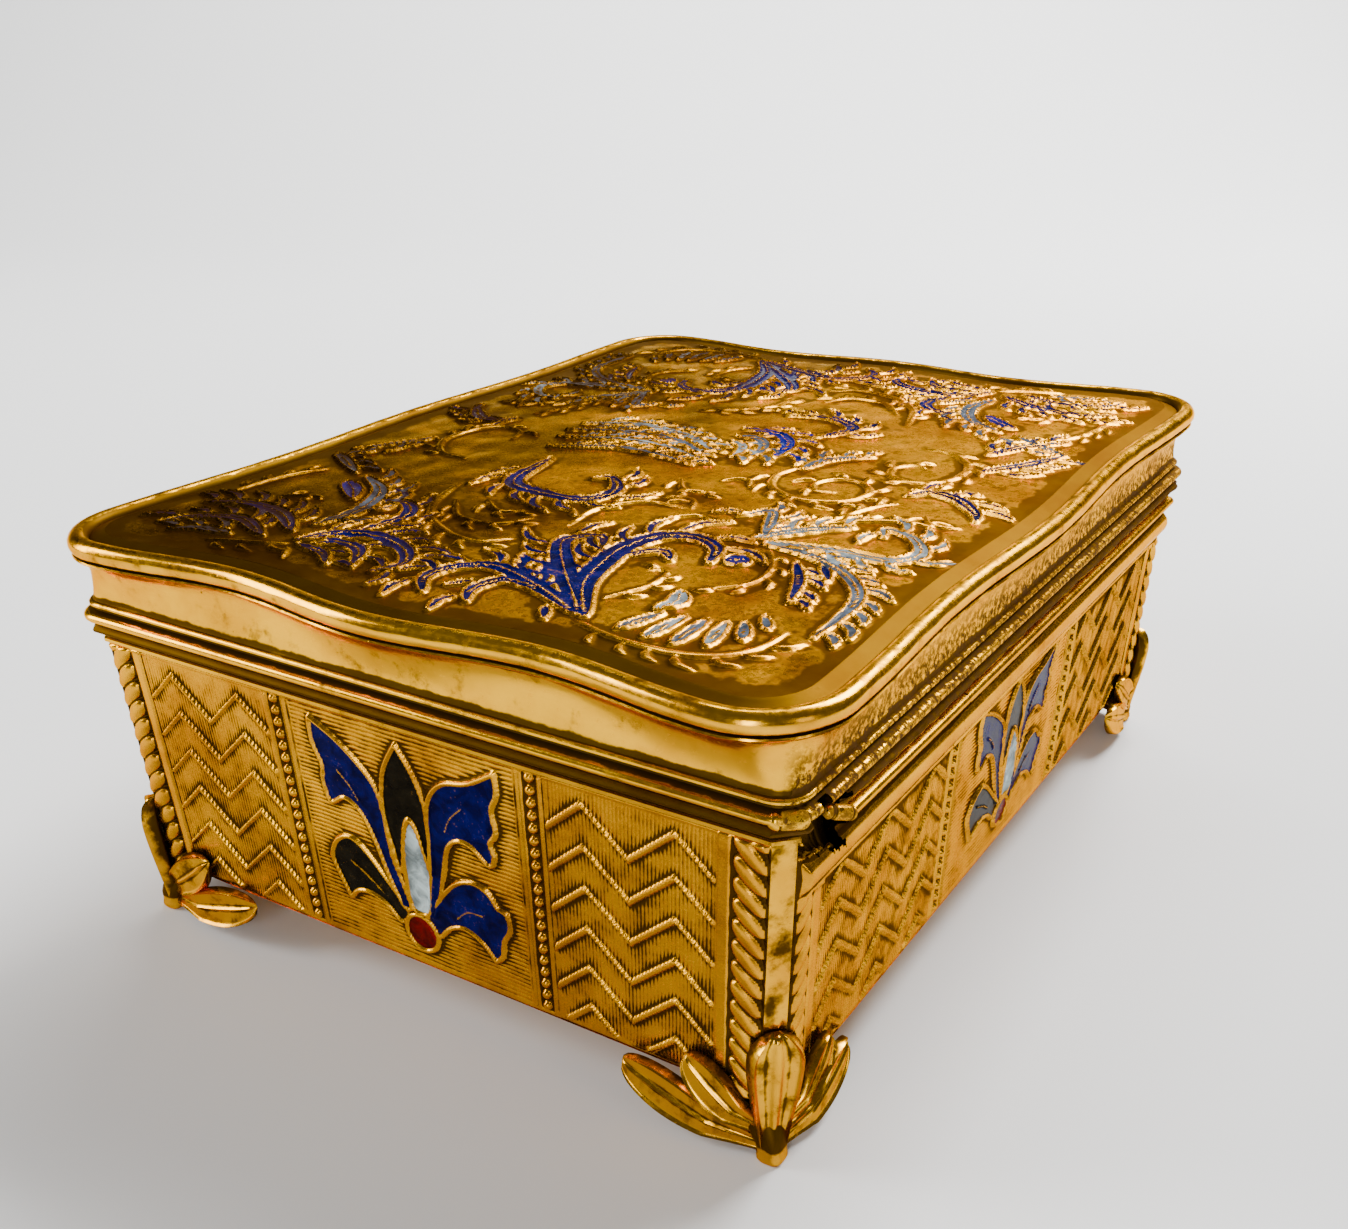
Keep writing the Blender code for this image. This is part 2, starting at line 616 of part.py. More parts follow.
def build_lid(material):
    bm = bmesh.new()
    roll_out = LIP_OUT + ROLL_OVERHANG - ROLL_RADIUS
    roll_at = LID_TALL - ROLL_RADIUS

    def ring(z, out, share):
        """One ring of the lid. share is how far it has gone from straight sides to waved ones."""
        corner = LID_SHARP + (LID_CORNER - LID_SHARP) * share + out - LIP_OUT
        return waved_outline(LID_BOTTOM + z, out, corner, share)

    turn_step = (ROLL_TO - ROLL_FROM) / ROLL_STEPS
    turns = [math.radians(ROLL_FROM + turn_step * k) for k in range(ROLL_STEPS + 1)]
    roll = [ring(roll_at + ROLL_RADIUS * math.sin(turn), roll_out + ROLL_RADIUS * math.cos(turn), 1.0)
            for turn in turns]
    border = ring(LID_TALL - FIELD_LOW, -FIELD_IN, 1.0)
    rings = add_rings(bm, [
        ring(0.0, FRIEZE_OUT + SEAT_EDGE_OUT, 0.0),
        ring(TORUS_TALL * TORUS_ROUND, TORUS_OUT, 0.0),
        ring(TORUS_TALL * (1 - TORUS_ROUND), TORUS_OUT, 0.0),
        ring(TORUS_TALL, FRIEZE_OUT + FRIEZE_NECK, 0.0),
        ring(TORUS_TALL + FRIEZE_FILLET, FRIEZE_OUT + FRIEZE_FILLET, 0.0),
        ring(TORUS_TALL + FRIEZE_FOOT, FRIEZE_OUT, 0.0),
        ring(FRIEZE_WAVE_AT, FRIEZE_OUT, 0.45),
        ring(FRIEZE_TOP, FRIEZE_OUT + FRIEZE_FLARE, 0.9),
        ring(LIP_AT, LIP_OUT, 1.0),
        ring(LIP_AT + LIP_GROOVE_TALL, LIP_OUT - LIP_GROOVE, 1.0),
        *roll,
        ring(LID_TALL - FIELD_LOW - ROLL_DIP, 0.0, 1.0),
        border,
    ])
    add_field(bm, border, LID_BOTTOM + LID_TALL - FIELD_LOW)
    inner_top = LID_TALL - LID_ROOF
    inner = add_rings(bm, [
        flat_corner_outline(LID_BOTTOM, LID_INNER),
        flat_corner_outline(LID_BOTTOM + inner_top, LID_INNER),
    ])
    bm.faces.new(inner[1][::-1])
    outer_flat = [(v.co.x / MM, v.co.y / MM) for v in rings[0]]
    inner_flat = [(v.co.x / MM, v.co.y / MM) for v in inner[0]]
    seat = Relief(outer_flat)
    seat.add(inner_flat, 0.0, True)
    flat = [Vector(point) for point in seat.points]
    _, _, faces, origins, _, _ = delaunay_2d_cdt(flat, seat.edges, [], 2, 1e-6)
    owners = rings[0] + inner[0]
    hole = set(range(len(outer_flat), len(seat.points)))
    for face in faces:
        corners = [origins[i][0] for i in face]
        if not set(corners) <= hole:
            bm.faces.new([owners[i] for i in corners])
    return add_object("lid", bm, material)


# Feet

def add_leaf(bm, spine, widths, across, face, thick):
    """One leaf of a foot: sections along its spine, each with two edges, a ridge and a flat back."""
    rings = []
    for point, wide in zip(spine, widths):
        half = across * (wide / 2)
        ridge = face * (thick * (0.55 + 0.45 * wide / max(widths)))
        shoulder = ridge * 0.7
        rings.append(add_ring(bm, (point - half, point - half * 0.8 + shoulder, point + ridge,
                                   point + half * 0.8 + shoulder, point + half)))
    for lower, upper in zip(rings, rings[1:]):
        bridge(bm, lower, upper)
    bm.faces.new(rings[0][::-1])
    bm.faces.new(rings[-1])


def side_leaf(corner, along, face, start, bend, end, wide):
    """A leaf from the foot's knob that lies before a wall. Its places are (along, up) from the corner."""
    up = Vector((0, 0, 1))
    spine, widths = [], []
    for k in range(SIDE_LEAF_STEPS + 1):
        t = k / SIDE_LEAF_STEPS
        s, z = (((1 - t) ** 2 * a + 2 * t * (1 - t) * b + t ** 2 * c) for a, b, c in zip(start, bend, end))
        out = LEAF_STANDOFF - KNOB_WIDE * 0.4 * max(0.0, 1 - 2.5 * t)
        spine.append(corner + along * s + face * out + up * z)
        widths.append(wide * max(0.14, math.sin(math.pi * t ** 1.35) ** 0.7))
    run = (along * (end[0] - start[0]) + up * (end[1] - start[1])).normalized()
    bm = bmesh.new()
    add_leaf(bm, spine, widths, face.cross(run), face, LEAF_THICK)
    return bm


def corner_leaf(corner, outward):
    """The upright leaf before the corner's flat. It leans with the wall, and its top is round."""
    up = Vector((0, 0, 1))
    lean = WALL_LEAN / (WALL_TOP - WALL_BOTTOM) * math.sqrt(2)
    flat_at = -CORNER_FLAT / math.sqrt(2)
    spine, widths = [], []
    for share, wide in ((0.05, 0.4), (0.2, 0.68), (0.4, 0.88), (0.62, 1.0), (0.8, 0.94), (0.92, 0.7),
                        (1.0, 0.3)):
        z = CORNER_LEAF_TALL * share
        spine.append(corner + outward * (lean * (z - WALL_BOTTOM) + flat_at + FOOT_GAP) + up * z)
        widths.append(CORNER_LEAF_WIDE * wide)
    bm = bmesh.new()
    add_leaf(bm, spine, widths, up.cross(outward), outward, CORNER_LEAF_THICK)
    return bm


def foot_core(corner, inward):
    """The knob that the foot stands on, widening into the block under the body's corner."""
    knob = corner + inward * KNOB_IN
    block = corner + inward * (FOOT_BLOCK / 2)
    top = WALL_BOTTOM - FOOT_GAP
    sections = (
        (knob, FOOT_TIP, 0.0),
        (knob, KNOB_WIDE * 0.85, KNOB_TALL * 0.3),
        (knob, KNOB_WIDE, KNOB_TALL),
        (block, FOOT_BLOCK, top),
    )
    bm = bmesh.new()
    rings = add_rings(bm, [square_outline(middle, wide, z) for middle, wide, z in sections])
    bm.faces.new(rings[0][::-1])
    bm.faces.new(rings[-1])
    return bm


def square_outline(middle, wide, z):
    """A square with its corners cut by a quarter of its width."""
    half, cut = wide / 2, wide / 4
    turns = ((-half, -cut), (-cut, -half), (cut, -half), (half, -cut),
             (half, cut), (cut, half), (-cut, half), (-half, cut))
    return [(middle.x + x, middle.y + y, z) for x, y in turns]


def build_foot(name, mirror_x, mirror_y, material):
    corner = Vector((mirror_x * BASE_HALF_W, mirror_y * BASE_HALF_D, 0))
    to_x, to_y = Vector((-mirror_x, 0, 0)), Vector((0, -mirror_y, 0))
    foot = add_object(name, foot_core(corner, to_x + to_y), material)
    leaves = [corner_leaf(corner, -(to_x + to_y).normalized())]
    for along, face, reach in ((to_x, -to_y, FRONT_LEAF_REACH), (to_y, -to_x, SIDE_LEAF_REACH)):
        leaves.append(side_leaf(corner, along, face, (LEAF_START, LONG_LEAF_FOOT),
                                (reach * 0.5, LONG_LEAF_SAG), (reach, LONG_LEAF_RISE), LONG_LEAF_WIDE))
        leaves.append(side_leaf(corner, along, face, (LEAF_START, NARROW_LEAF_FOOT),
                                (NARROW_LEAF_REACH * 0.66, NARROW_LEAF_SAG),
                                (NARROW_LEAF_REACH, NARROW_LEAF_RISE), NARROW_LEAF_WIDE))
    for number, leaf in enumerate(leaves):
        combine(foot, add_object(name + "_leaf_" + str(number), leaf, material), "UNION")


# Broken places

def jagged_cutter(name, x_from, x_to, y_from, y_to, z_low, z_high, material):
    """A block whose lower side is ragged, for the piece broken out of the rim."""
    bm = bmesh.new()
    teeth = 6
    outline = [(y_to, z_high), (y_from, z_high)]
    for k in range(teeth + 1):
        ragged = 0.5 * math.sin(2.3 * k) + 0.3 * math.cos(5.1 * k)
        outline.append((y_from + (y_to - y_from) * k / teeth, z_low + ragged))
    rings = [[bm.verts.new(Vector((x, y, z)) * MM) for y, z in outline] for x in (x_from, x_to)]
    bridge(bm, rings[0], rings[1])
    bm.faces.new(rings[0][::-1])
    bm.faces.new(rings[1])
    return add_object(name, bm, material)


def break_corner(body, lid, material):
    y_from, y_to = -HALF_D + BREAK_FROM, -HALF_D + BREAK_TO
    top = SEAT + COLLAR_TALL + CUTTER_OVER
    low = WALL_TOP - BREAK_LOW
    inner = HALF_W - WALL_THICK - BREAK_DEEP
    outer = HALF_W + TORUS_OUT + CUTTER_OVER
    cutter = jagged_cutter("rim_break", inner, outer, y_from, y_to, low, top, material)
    combine(body, cutter, "DIFFERENCE")
    notch_y = -HALF_D + NOTCH_AT
    low, high = LID_BOTTOM - CUTTER_OVER, LID_BOTTOM + TORUS_TALL + FRIEZE_NECK
    inner = HALF_W + TORUS_OUT - NOTCH_DEEP
    cutter = jagged_cutter("torus_notch", inner, outer, notch_y, notch_y + NOTCH_WIDE, low, high, material)
    combine(lid, cutter, "DIFFERENCE")


clear_scene()
wall_gilt = gilt("wall_gilt", (0.62, 0.36, 0.08), 0.34)
lid_gilt = gilt("lid_gilt", (0.52, 0.30, 0.07), 0.38)
foot_gilt = gilt("foot_gilt", (0.68, 0.42, 0.10), 0.28)
box_body = build_body(wall_gilt)
box_lid = build_lid(lid_gilt)
for foot_name, sign_x, sign_y in (("foot_front_right", 1, -1), ("foot_front_left", -1, -1),
                                  ("foot_back_right", 1, 1), ("foot_back_left", -1, 1)):
    build_foot(foot_name, sign_x, sign_y, foot_gilt)
break_corner(box_body, box_lid, wall_gilt)
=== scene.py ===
# Gilt bronze box with enamel flowers and scrolls, standing on a pale studio floor.
# Lengths are in mm until a piece is built, and in metres in the shaders and the studio.
# The short front wall faces -Y and a long wall faces +X.
import math

import bpy
import numpy as np
from mathutils import Matrix, Vector


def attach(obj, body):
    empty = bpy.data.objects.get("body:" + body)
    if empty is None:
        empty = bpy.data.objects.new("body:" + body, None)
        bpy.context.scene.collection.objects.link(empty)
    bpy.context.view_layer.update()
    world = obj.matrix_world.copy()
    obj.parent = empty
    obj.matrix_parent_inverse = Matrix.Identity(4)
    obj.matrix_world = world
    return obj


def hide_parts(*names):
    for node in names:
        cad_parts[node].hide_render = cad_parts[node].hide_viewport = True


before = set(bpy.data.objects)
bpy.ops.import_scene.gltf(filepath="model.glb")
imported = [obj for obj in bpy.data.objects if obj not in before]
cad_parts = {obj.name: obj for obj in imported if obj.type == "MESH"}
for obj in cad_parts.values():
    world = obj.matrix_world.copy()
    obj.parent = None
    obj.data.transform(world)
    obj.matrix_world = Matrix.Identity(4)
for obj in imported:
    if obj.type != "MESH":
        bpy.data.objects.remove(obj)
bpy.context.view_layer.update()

mm = 0.001

boxShape = dict(
    width=96.0, depth=124.4, wallTop=39.0, wallBottom=7.2, lean=2.3, cornerFlat=1.76,
    floorTop=8.8, lidBottom=41.7,
)
halfWidth = boxShape["width"] / 2
halfDepth = boxShape["depth"] / 2


# General helpers

# 0 before start, 1 after end, and a smooth S between them.
def ease(start, end, x):
    t = np.clip((x - start) / (end - start), 0.0, 1.0)
    return t * t * (3.0 - 2.0 * t)


# How far the wall has leant in at height z, in a straight line from its top to its foot.
def leanAt(z):
    return boxShape["lean"] * (boxShape["wallTop"] - z) / (boxShape["wallTop"] - boxShape["wallBottom"])


# Corner numbers of the quads of a grid. closed joins the last column to the first.
def quadGrid(rows, columns, closed=False):
    across = columns if closed else columns - 1
    i, j = np.meshgrid(np.arange(rows - 1), np.arange(across), indexing="ij")
    k = (j + 1) % columns
    return np.stack([i * columns + j, i * columns + k, (i + 1) * columns + k, (i + 1) * columns + j],
                    axis=-1).reshape(-1, 4)


# One surface of a piece. Its faces are turned to look along outward, or away from a centre.
def part(points, quads, outward, **values):
    points = np.asarray(points, float).reshape(-1, 3)
    quads = np.asarray(quads)
    a, b, c, d = (points[quads[:, i]] for i in range(4))
    normals = np.cross(c - a, d - b)
    look = np.asarray(outward, float)
    if look.ndim == 1 and len(look) == 3:
        facing = (normals @ look).sum()
    else:
        facing = (normals * ((a + c) / 2 - look[0])).sum()
    if facing < 0:
        quads = quads[:, ::-1]
    return dict(points=points, quads=quads, values=values)


# Joins surfaces into one object, with their values as vertex attributes, riding on the box.
def buildPiece(name, parts, material, nodes=(), smoothAngle=None):
    names = sorted({key for item in parts for key in item["values"]})
    counts = [len(item["points"]) for item in parts]
    starts = np.concatenate([[0], np.cumsum(counts)[:-1]])
    points = np.concatenate([item["points"] for item in parts]) * mm
    quads = np.concatenate([item["quads"] + start for item, start in zip(parts, starts)])
    mesh = bpy.data.meshes.new(name)
    mesh.from_pydata(points.tolist(), [], quads.tolist())
    for key in names:
        width = max(np.shape(item["values"][key])[-1] if np.ndim(item["values"].get(key, 0.0)) == 2 else 1
                    for item in parts if key in item["values"])
        data = np.zeros((len(points), width))
        for item, start, count in zip(parts, starts, counts):
            value = np.asarray(item["values"].get(key, 0.0), float)
            data[start:start + count] = value.reshape(-1, width) if value.ndim else value
        if width == 1:
            mesh.attributes.new(key, "FLOAT", "POINT").data.foreach_set("value",
                                                                        data[:, 0].astype(np.float32))
        else:
            data = np.column_stack([data[:, :3], np.ones(len(data))])
            mesh.attributes.new(key, "FLOAT_COLOR", "POINT").data.foreach_set("color", data.ravel())
    mesh.validate()
    mesh.shade_smooth()
    if smoothAngle:
        mesh.set_sharp_from_angle(angle=math.radians(smoothAngle))
    mesh.materials.append(material)
    piece = bpy.data.objects.new(name, mesh)
    bpy.context.scene.collection.objects.link(piece)
    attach(piece, "root")
    if nodes:
        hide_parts(*nodes)
    print("built", name, 2 * len(quads), "triangles")
    return piece


# Points about one step apart on a Catmull-Rom curve. At a tip the tangent is nought, so it stays sharp.
def curveThrough(points, step, closed=False, tips=()):
    path = np.asarray(points, float)
    count = len(path)
    tangents = (np.roll(path, -1, 0) - np.roll(path, 1, 0)) / 2
    if not closed:
        tangents[0], tangents[-1] = path[1] - path[0], path[-1] - path[-2]
    tangents[list(tips)] = 0
    pieces = []
    for i in range(count if closed else count - 1):
        j = (i + 1) % count
        n = max(2, int(np.hypot(*(path[j] - path[i])[:2]) / step))
        t = (np.arange(n) / n)[:, None]
        pieces.append((2 * t ** 3 - 3 * t ** 2 + 1) * path[i] + (t ** 3 - 2 * t ** 2 + t) * tangents[i]
                      + (3 * t ** 2 - 2 * t ** 3) * path[j] + (t ** 3 - t ** 2) * tangents[j])
    if not closed:
        pieces.append(path[-1:])
    return np.concatenate(pieces)


# Distance from each (u, v) to a line, and, for a closed one, positive inside and negative outside.
def distanceTo(line, u, v, closed=False):
    a = np.asarray(line, float)
    b = np.roll(a, -1, 0) if closed else a[1:]
    a = a if closed else a[:-1]
    best = np.full(u.shape, 1e9)
    inside = np.zeros(u.shape, bool)
    for (au, av), (bu, bv) in zip(a, b):
        du, dv = bu - au, bv - av
        t = np.clip(((u - au) * du + (v - av) * dv) / max(du * du + dv * dv, 1e-12), 0, 1)
        best = np.minimum(best, (u - au - t * du) ** 2 + (v - av - t * dv) ** 2)
        if closed and dv != 0:
            inside ^= ((av > v) != (bv > v)) & (u < du * (v - av) / dv + au)
    best = np.sqrt(best)
    return np.where(inside, best, -best) if closed else best


# A slow wavering between -1 and 1: a sum of sine waves in directions drawn from a seeded generator.
def softNoise(u, v, scale, seed):
    draw = np.random.default_rng(seed)
    total = np.zeros(np.broadcast(u, v).shape)
    for _ in range(7):
        angle, phase, pitch = draw.uniform(0, math.tau), draw.uniform(0,
                                                                      math.tau), scale * draw.uniform(0.6,
                                                                                                      1.8)
        total += np.sin((u * math.cos(angle) + v * math.sin(angle)) * math.tau / pitch + phase)
    return total / 4.2


# How much lower each point of a height grid lies than its surroundings, within reach cells.
def hollowness(height, reach):
    padded = np.pad(height, reach, mode="edge")
    total = np.cumsum(np.cumsum(np.pad(padded, ((1, 0), (1, 0))), 0), 1)
    size = 2 * reach + 1
    mean = (total[size:, size:] - total[:-size, size:] - total[size:, :-size] + total[:-size,
                                                                                      :-size]) / size ** 2
    return mean - height


# Shader groups

# A shader node group from lists of named inputs and outputs, with its two end nodes.
def newGroup(name, inputs, outputs):
    group = bpy.data.node_groups.new(name, "ShaderNodeTree")
    kinds = {"value": "NodeSocketFloat", "colour": "NodeSocketColor"}
    for label, kind, default in inputs:
        socket = group.interface.new_socket(label, in_out="INPUT", socket_type=kinds[kind])
        if default is not None:
            socket.default_value = default
    for label, kind in outputs:
        group.interface.new_socket(label, in_out="OUTPUT", socket_type=kinds[kind])
    return group, group.nodes.new("NodeGroupInput"), group.nodes.new("NodeGroupOutput")


# Short ways to add nodes and join them in one node tree.
class Wiring:
    def __init__(self, tree):
        self.tree = tree

    # Joins a socket to another one, or gives it a plain value.
    def put(self, socket, value):
        if isinstance(value, bpy.types.NodeSocket):
            self.tree.links.new(value, socket)
        else:
            socket.default_value = value

    # One sum, product or other operation of two values.
    def math(self, operation, a, b=0.0, clamp=False):
        node = self.tree.nodes.new("ShaderNodeMath")
        node.operation = operation
        node.use_clamp = clamp
        self.put(node.inputs[0], a)
        self.put(node.inputs[1], b)
        return node.outputs[0]

    # A smooth S from start to end while value goes from low to high.
    def ramp(self, value, low, high, start=0.0, end=1.0):
        node = self.tree.nodes.new("ShaderNodeMapRange")
        node.interpolation_type = "SMOOTHSTEP"
        for socket, item in zip(node.inputs, (value, low, high, start, end)):
            self.put(socket, item)
        return node.outputs[0]

    # Colour a where share is 0 and colour b where it is 1.
    def mix(self, share, a, b):
        node = self.tree.nodes.new("ShaderNodeMix")
        node.data_type = "RGBA"
        self.put(node.inputs[0], share)
        self.put(node.inputs[6], a)
        self.put(node.inputs[7], b)
        return node.outputs[2]

    # Number a where share is 0 and number b where it is 1.
    def blend(self, share, a, b):
        node = self.tree.nodes.new("ShaderNodeMix")
        self.put(node.inputs[0], share)
        self.put(node.inputs[2], a)
        self.put(node.inputs[3], b)
        return node.outputs[0]

    # Soft fractal noise at each place.
    def noise(self, place, scale, detail=3.0, roughness=0.55, distortion=0.0):
        node = self.tree.nodes.new("ShaderNodeTexNoise")
        self.put(node.inputs["Vector"], place)
        self.put(node.inputs["Scale"], scale)
        self.put(node.inputs["Detail"], detail)
        self.put(node.inputs["Roughness"], roughness)
        self.put(node.inputs["Distortion"], distortion)
        return node.outputs["Fac"]

    # The place with each axis multiplied by its own amount.
    def stretch(self, place, amounts):
        node = self.tree.nodes.new("ShaderNodeMapping")
        self.put(node.inputs["Vector"], place)
        node.inputs["Scale"].default_value = amounts
        return node.outputs[0]

    # The place in the piece's own Object coordinates.
    def objectPlace(self):
        return self.tree.nodes.new("ShaderNodeTexCoord").outputs["Object"]

    # A value that the mesh holds at its points.
    def attribute(self, name, output="Fac"):
        node = self.tree.nodes.new("ShaderNodeAttribute")
        node.attribute_name = name
        return node.outputs[output]

    # A shader group, with its named inputs set.
    def group(self, group, **values):
        node = self.tree.nodes.new("ShaderNodeGroup")
        node.node_tree = group
        for label, value in values.items():
            self.put(node.inputs[label], value)
        return node.outputs


# Gilding: colour that drifts, pits, rubbed grain, and dark patina in the hollows, which also carries painted
# shade in recesses and under parts.
def agedGiltGroup():
    group, inside, outside = newGroup("agedGilt", [
        ("hollow", "value", 0.0), ("bright", "colour", (0.9, 0.6, 0.2, 1)),
        ("deep", "colour", (0.6, 0.3, 0.06, 1)),
        ("patina", "colour", (0.02, 0.01, 0.003, 1)), ("gloss", "value", 0.2), ("pits", "value", 0.3),
        ("dirt", "value", 0.3), ("grain", "value", 0.3),
    ], [("colour", "colour"), ("roughness", "value"), ("metal", "value"), ("height", "value")])
    w = Wiring(group)
    given = inside.outputs
    place = w.objectPlace()
    drift = w.noise(place, 90.0, 4.0)
    cloud = w.noise(place, 340.0, 5.0, 0.62)
    fine = w.noise(place, 1700.0, 3.0, 0.6)
    scratch = w.noise(w.stretch(place, (500.0, 500.0, 5200.0)), 1.0, 3.0, 0.7, 0.4)
    pitField = w.noise(place, 900.0, 2.0, 0.5, 0.3)
    pitMask = w.ramp(pitField, 0.72, 0.80)
    pitMask = w.math("MULTIPLY", pitMask, w.ramp(drift, 0.42, 0.62), True)
    pitMask = w.math("MULTIPLY", pitMask, given["pits"], True)
    base = w.mix(w.ramp(w.math("ADD", drift, w.math("MULTIPLY", cloud, 0.35)), 0.45, 0.95), given["bright"],
                 given["deep"])
    # Darkening towards the patina colour: real patina in hollows, and painted shade where a piece puts a high
    # value in recesses and under parts.
    sunk = w.ramp(w.math("ADD", given["hollow"], w.math("MULTIPLY", w.math("SUBTRACT", cloud, 0.5), 0.42)),
                  0.02, 0.13)
    stain = w.math("MULTIPLY", w.ramp(w.math("ADD", cloud, w.math("MULTIPLY", drift, 0.6)), 0.86, 1.08),
                   given["dirt"], True)
    dark = w.math("MAXIMUM", w.math("MAXIMUM", w.math("MULTIPLY", sunk, 0.92), stain), pitMask)
    w.put(outside.inputs["colour"], w.mix(dark, base, given["patina"]))
    rough = w.math("ADD", given["gloss"], w.math("MULTIPLY", w.math("SUBTRACT", scratch, 0.45), 0.25))
    rough = w.math("ADD", rough, w.math("MULTIPLY", w.math("SUBTRACT", fine, 0.5), 0.3))
    rough = w.blend(dark, rough, 0.5)
    w.put(outside.inputs["roughness"], w.math("MAXIMUM", rough, 0.08, True))
    w.put(outside.inputs["metal"], w.ramp(dark, 0.25, 1.1, 1.0, 0.85))
    bumps = w.math("MULTIPLY", w.math("ADD", w.math("MULTIPLY", scratch, 0.5), fine), given["grain"])
    bumps = w.math("SUBTRACT",
                   w.math("ADD", bumps, w.math("MULTIPLY", cloud, w.math("MULTIPLY", given["grain"], 2.2))),
                   pitMask)
    w.put(outside.inputs["height"], bumps)
    return group


# Enamel in a cell: its mask from the distance to the cell's edge, mottled colour and small chips.
def enamelGroup():
    group, inside, outside = newGroup("cellEnamel", [
        ("edge", "value", -1.0), ("tint", "colour", (0, 0, 0.2, 1)), ("wear", "value", 0.2),
    ], [("mask", "value"), ("colour", "colour"), ("roughness", "value"), ("height", "value")])
    w = Wiring(group)
    given = inside.outputs
    place = w.objectPlace()
    mottle = w.noise(place, 420.0, 4.0, 0.6, 0.6)
    grit = w.noise(place, 2300.0, 3.0, 0.7)
    ragged = w.math("ADD", given["edge"], w.math("MULTIPLY", w.math("SUBTRACT", grit, 0.5), 0.14))
    lost = w.math("MULTIPLY", w.ramp(w.math("ADD", grit, w.math("MULTIPLY", mottle, 0.5)), 0.90, 0.98),
                  given["wear"],
                  True)
    mask = w.math("MULTIPLY", w.ramp(ragged, 0.0, 0.09), w.math("SUBTRACT", 1.0, lost), True)
    w.put(outside.inputs["mask"], mask)
    shade = w.ramp(mottle, 0.32, 0.72, 0.35, 1.5)
    tinted = w.tree.nodes.new("ShaderNodeVectorMath")
    tinted.operation = "SCALE"
    w.put(tinted.inputs[0], given["tint"])
    w.put(tinted.inputs["Scale"], shade)
    w.put(outside.inputs["colour"], tinted.outputs[0])
    w.put(outside.inputs["roughness"], w.ramp(mottle, 0.3, 0.8, 0.12, 0.34))
    w.put(outside.inputs["height"], w.math("MULTIPLY", mottle, 0.6))
    return group


agedGilt = agedGiltGroup()
cellEnamel = enamelGroup()


giltShader = dict(
    specular=0.2, ior=1.16, specularTint=(0.95, 0.62, 0.22, 1), bump=0.00003,
    dustColour=(0.105, 0.048, 0.012, 1), dustRough=0.8, dustMetal=0.2, dustHeights=(0.0505, 0.0455),
    # The tarnish colour also serves the painted shade towards the lid's left, which the two values after it
    # place.
    dustSides=(0.0472, 0.0484), tarnishAndShadeColour=(0.030, 0.011, 0.002, 1), leftShadeSpan=(0.020, -0.046),
    leftShadeLean=0.30,
)


# A gilt surface, with enamel where the piece's cell attribute is above nought.
def giltMaterial(name, look):
    material = bpy.data.materials.new(name)
    material.use_nodes = True
    tree = material.node_tree
    shader = tree.nodes["Principled BSDF"]
    w = Wiring(tree)
    gilt = w.group(agedGilt, hollow=w.attribute("hollow"), bright=look["bright"], deep=look["deep"],
                   patina=look["patina"], gloss=look["gloss"], pits=look["pits"], dirt=look["dirt"],
                   grain=look["grain"])
    colour, rough, metal, height = (gilt[key] for key in ("colour", "roughness", "metal", "height"))
    if look.get("enamel"):
        enamel = w.group(cellEnamel, edge=w.attribute("cell"), tint=w.attribute("tint", "Color"),
                         wear=look["wear"])
        colour = w.mix(enamel["mask"], colour, enamel["colour"])
        rough = w.blend(enamel["mask"], rough, enamel["roughness"])
        metal = w.blend(enamel["mask"], metal, 0.0)
        height = w.blend(enamel["mask"], height, enamel["height"])
    if look.get("dust"):
        place = w.objectPlace()
        split = tree.nodes.new("ShaderNodeSeparateXYZ")
        w.put(split.inputs[0], place)
        fuzz = w.noise(place, 1300.0, 4.0, 0.75)
        low = w.ramp(split.outputs["Z"], *giltShader["dustHeights"])
        right = w.ramp(split.outputs["X"], *giltShader["dustSides"])
        grime = w.math("MULTIPLY", w.math("MULTIPLY", low, right), w.ramp(fuzz, 0.38, 0.58), True)
        colour = w.mix(w.math("MULTIPLY", grime, look["dust"]), colour, giltShader["dustColour"])
        rough = w.blend(grime, rough, giltShader["dustRough"])
        metal = w.blend(grime, metal, giltShader["dustMetal"])
    # Tarnish in random clouds, plus painted shade that darkens the lid's top more towards its left side.
    if look.get("tarnishAndLeftShade"):
        place = w.objectPlace()
        split = tree.nodes.new("ShaderNodeSeparateXYZ")
        w.put(split.inputs[0], place)
        cloud = w.noise(place, 75.0, 5.0, 0.65)
        leftShade = w.ramp(split.outputs["X"], *giltShader["leftShadeSpan"])
        spread = w.math("ADD", cloud, w.math("MULTIPLY", leftShade, giltShader["leftShadeLean"]))
        amount = w.math("MULTIPLY", w.ramp(spread, 0.48, 0.80), look["tarnishAndLeftShade"])
        colour = w.mix(amount, colour, giltShader["tarnishAndShadeColour"])
    w.put(shader.inputs["Base Color"], colour)
    w.put(shader.inputs["Roughness"], rough)
    w.put(shader.inputs["Metallic"], metal)
    shader.inputs["Specular IOR Level"].default_value = giltShader["specular"]
    shader.inputs["IOR"].default_value = giltShader["ior"]
    shader.inputs["Specular Tint"].default_value = giltShader["specularTint"]
    bump = tree.nodes.new("ShaderNodeBump")
    bump.inputs["Distance"].default_value = giltShader["bump"]
    bump.inputs["Strength"].default_value = 1.0
    w.put(bump.inputs["Height"], height)
    w.put(shader.inputs["Normal"], bump.outputs[0])
    return material


